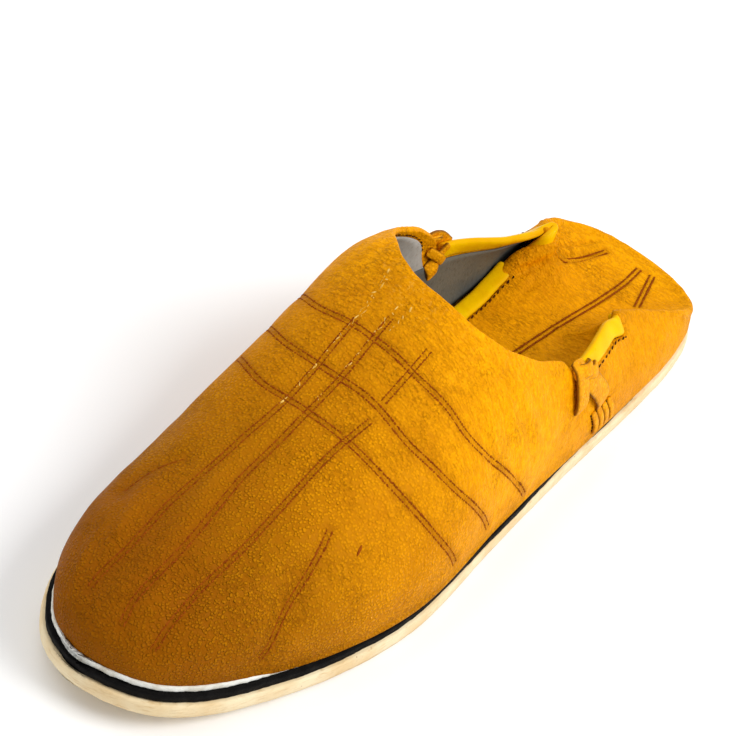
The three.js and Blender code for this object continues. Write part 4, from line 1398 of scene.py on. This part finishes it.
def banded_piece(name, bands, replaced=()):
    """One piece of several bands, each with the painted shade of its edges."""
    meshes, edges = zip(*bands)
    make_piece(name, *join(meshes), STRAP_LOOK, "strap", replaced,
               {"edge": np.concatenate(edges)})


def knot_pieces():
    for side, bands in KNOTS.items():
        for node, paths in bands.items():
            drawn = [strap_band(side, path, width) for width, path in paths]
            if node == "strap_medial":
                for width, path in INNER_ENDS:
                    inward = [(station, height, -LEATHER - deep) for station, height, deep in path]
                    drawn.append(strap_band(side, inward, width))
            banded_piece(node + "_band", drawn, (node,))
        ridges, threads = [], []
        for foot in SEAM_RIDGES[side]:
            path = ((foot + 3.2, RIDGE_HEIGHT, 0.1), (foot + 2.2, RIDGE_HEIGHT * 0.75, 0.55),
                    (foot + 0.8, RIDGE_HEIGHT * 0.4, 0.6), (foot, 0.4, 0.4),
                    (foot - 0.2, 0.05, 0.2))
            band, edge = strap_band(side, path, RIDGE_WIDTH, thick=1.3, count=40, around=12)
            # the ridges' edges get half as much painted shade
            ridges.append((band, edge * 0.5))
            p = catmull(np.array(path, float), 60)
            line, normal = flank_point(side, p[:, 0] + THREAD_AWAY, p[:, 1] + 0.6, 0.15)
            threads.append(dashes(line, normal, 1.5, 1.3, 0.55, 0.5, jitter=0.1))
        banded_piece(f"seam_ridges_{side}", ridges)
        make_piece(f"seam_threads_{side}", *join(threads), STITCH_THREAD, "strap")


# ---- inside ----------------------------------------------------------------------
LINED_TO = 0.985  # of the way to the toe's tip


def lining_piece():
    around, along = 120, 60
    degrees = np.linspace(3, 177, around + 1)[:, None]
    start = smooth(COLLAR, degrees) + HEM
    share = (np.sin(math.pi / 2 * np.arange(along + 1) / along) * LINED_TO)[None]

    def skin(depth):
        station = start + (TOE_TIP - depth - start) * share
        return last_point(station, np.radians(np.broadcast_to(degrees, station.shape)), depth)

    sheet = shell(skin(LEATHER + 0.45), skin(LEATHER + 1.05))
    make_piece("vamp_lining", *sheet, LINING_LOOK, "upper")
    turn = np.linspace(8, 172, 500)
    edge = smooth(COLLAR, turn) + HEM - 1.0
    line = last_point(edge, np.radians(turn), LEATHER + 0.05)
    normal = -skin_normal(edge, np.radians(turn))
    hem = dashes(line, normal, STITCH_PITCH, 1.7, 0.5, 0.4)
    make_piece("hem_stitches", *hem, STITCH_THREAD, "upper")


def quarter_lining_pieces():
    """The lining on the inner face of the quarter's walls, below the binding, in the grey lining
    painted darker as shade.
    """
    rise = np.arange(11) / 10
    for side in ("lateral", "medial"):
        spots = [w for w in WALL_PATH if w[2] == side and w[0][1] >= BEND[side] - 4]

        def skin(depth):
            rows = []
            for spot in spots:
                top = wall_top(side, spot[0][1]) - BINDING_WIDTH
                rows.append(wall_point(spot, INSOLE_THICK + (top - INSOLE_THICK) * rise, depth))
            return np.array(rows)

        sheet = shell(skin(LEATHER + 0.35), skin(LEATHER + 0.9))
        make_piece(f"quarter_lining_{side}", *sheet, SHADED_LINING_LOOK, "upper")


# ---- camera, light and floor -----------------------------------------------------
LENS, SENSOR = 107.53, 36.0
CAMERA_AT = (250.0 - MIDDLE_X, -430.7, 503.2)
CAMERA_RIGHT, CAMERA_AIM = (0.7441, 0.6451, 0.1737), (-0.3822, 0.6242, -0.6814)


def camera():
    data = bpy.data.cameras.new("camera")
    data.lens, data.sensor_width = LENS, SENSOR
    cam = bpy.data.objects.new("camera", data)
    bpy.context.scene.collection.objects.link(cam)
    cam.location = tuple(v / 1000 for v in CAMERA_AT)
    right = Vector(CAMERA_RIGHT).normalized()
    back = -Vector(CAMERA_AIM).normalized()
    up = back.cross(right).normalized()
    right = up.cross(back)
    turn = Matrix((right, up, back)).transposed()
    cam.rotation_mode = "QUATERNION"
    cam.rotation_quaternion = turn.to_quaternion()
    data.clip_start, data.clip_end = 0.05, 20
    bpy.context.scene.camera = cam


def light(name, place_at, size, power, colour=(1, 1, 1)):
    data = bpy.data.lights.new(name, "AREA")
    data.size, data.energy, data.color = size, power, colour
    lamp = bpy.data.objects.new(name, data)
    bpy.context.scene.collection.objects.link(lamp)
    lamp.location = place_at
    lamp.rotation_mode = "QUATERNION"
    lamp.rotation_quaternion = (Vector((0, 0, 0.02)) - Vector(place_at)).to_track_quat("-Z", "Y")


def studio():
    world = bpy.data.worlds.new("studio")
    world.use_nodes = True
    world.node_tree.nodes["Background"].inputs["Color"].default_value = (1, 1, 1, 1)
    world.node_tree.nodes["Background"].inputs["Strength"].default_value = 0.62
    bpy.context.scene.world = world
    light("key", (0.85, 0.30, 0.95), 0.7, 13.0)
    light("fill", (-0.8, 0.1, 1.1), 1.2, 6.0)
    bpy.ops.mesh.primitive_plane_add(size=8, location=(0, 0, -0.0002))
    floor = bpy.context.object
    floor.name = "floor"
    s = Shader("floor_paper", roughness=0.9, specular=0.1)
    floor.data.materials.append(s.finish(s.mix(s.noise(400.0, 1.0), (0.93, 0.93, 0.93, 1),
                                               (0.95, 0.95, 0.95, 1))))
    bpy.context.scene.view_settings.view_transform = "Standard"


camera()
studio()
sole_layers()
insole_piece()
vamp_piece()
quarter_piece()
binding_piece()
knot_pieces()
lining_piece()
quarter_lining_pieces()
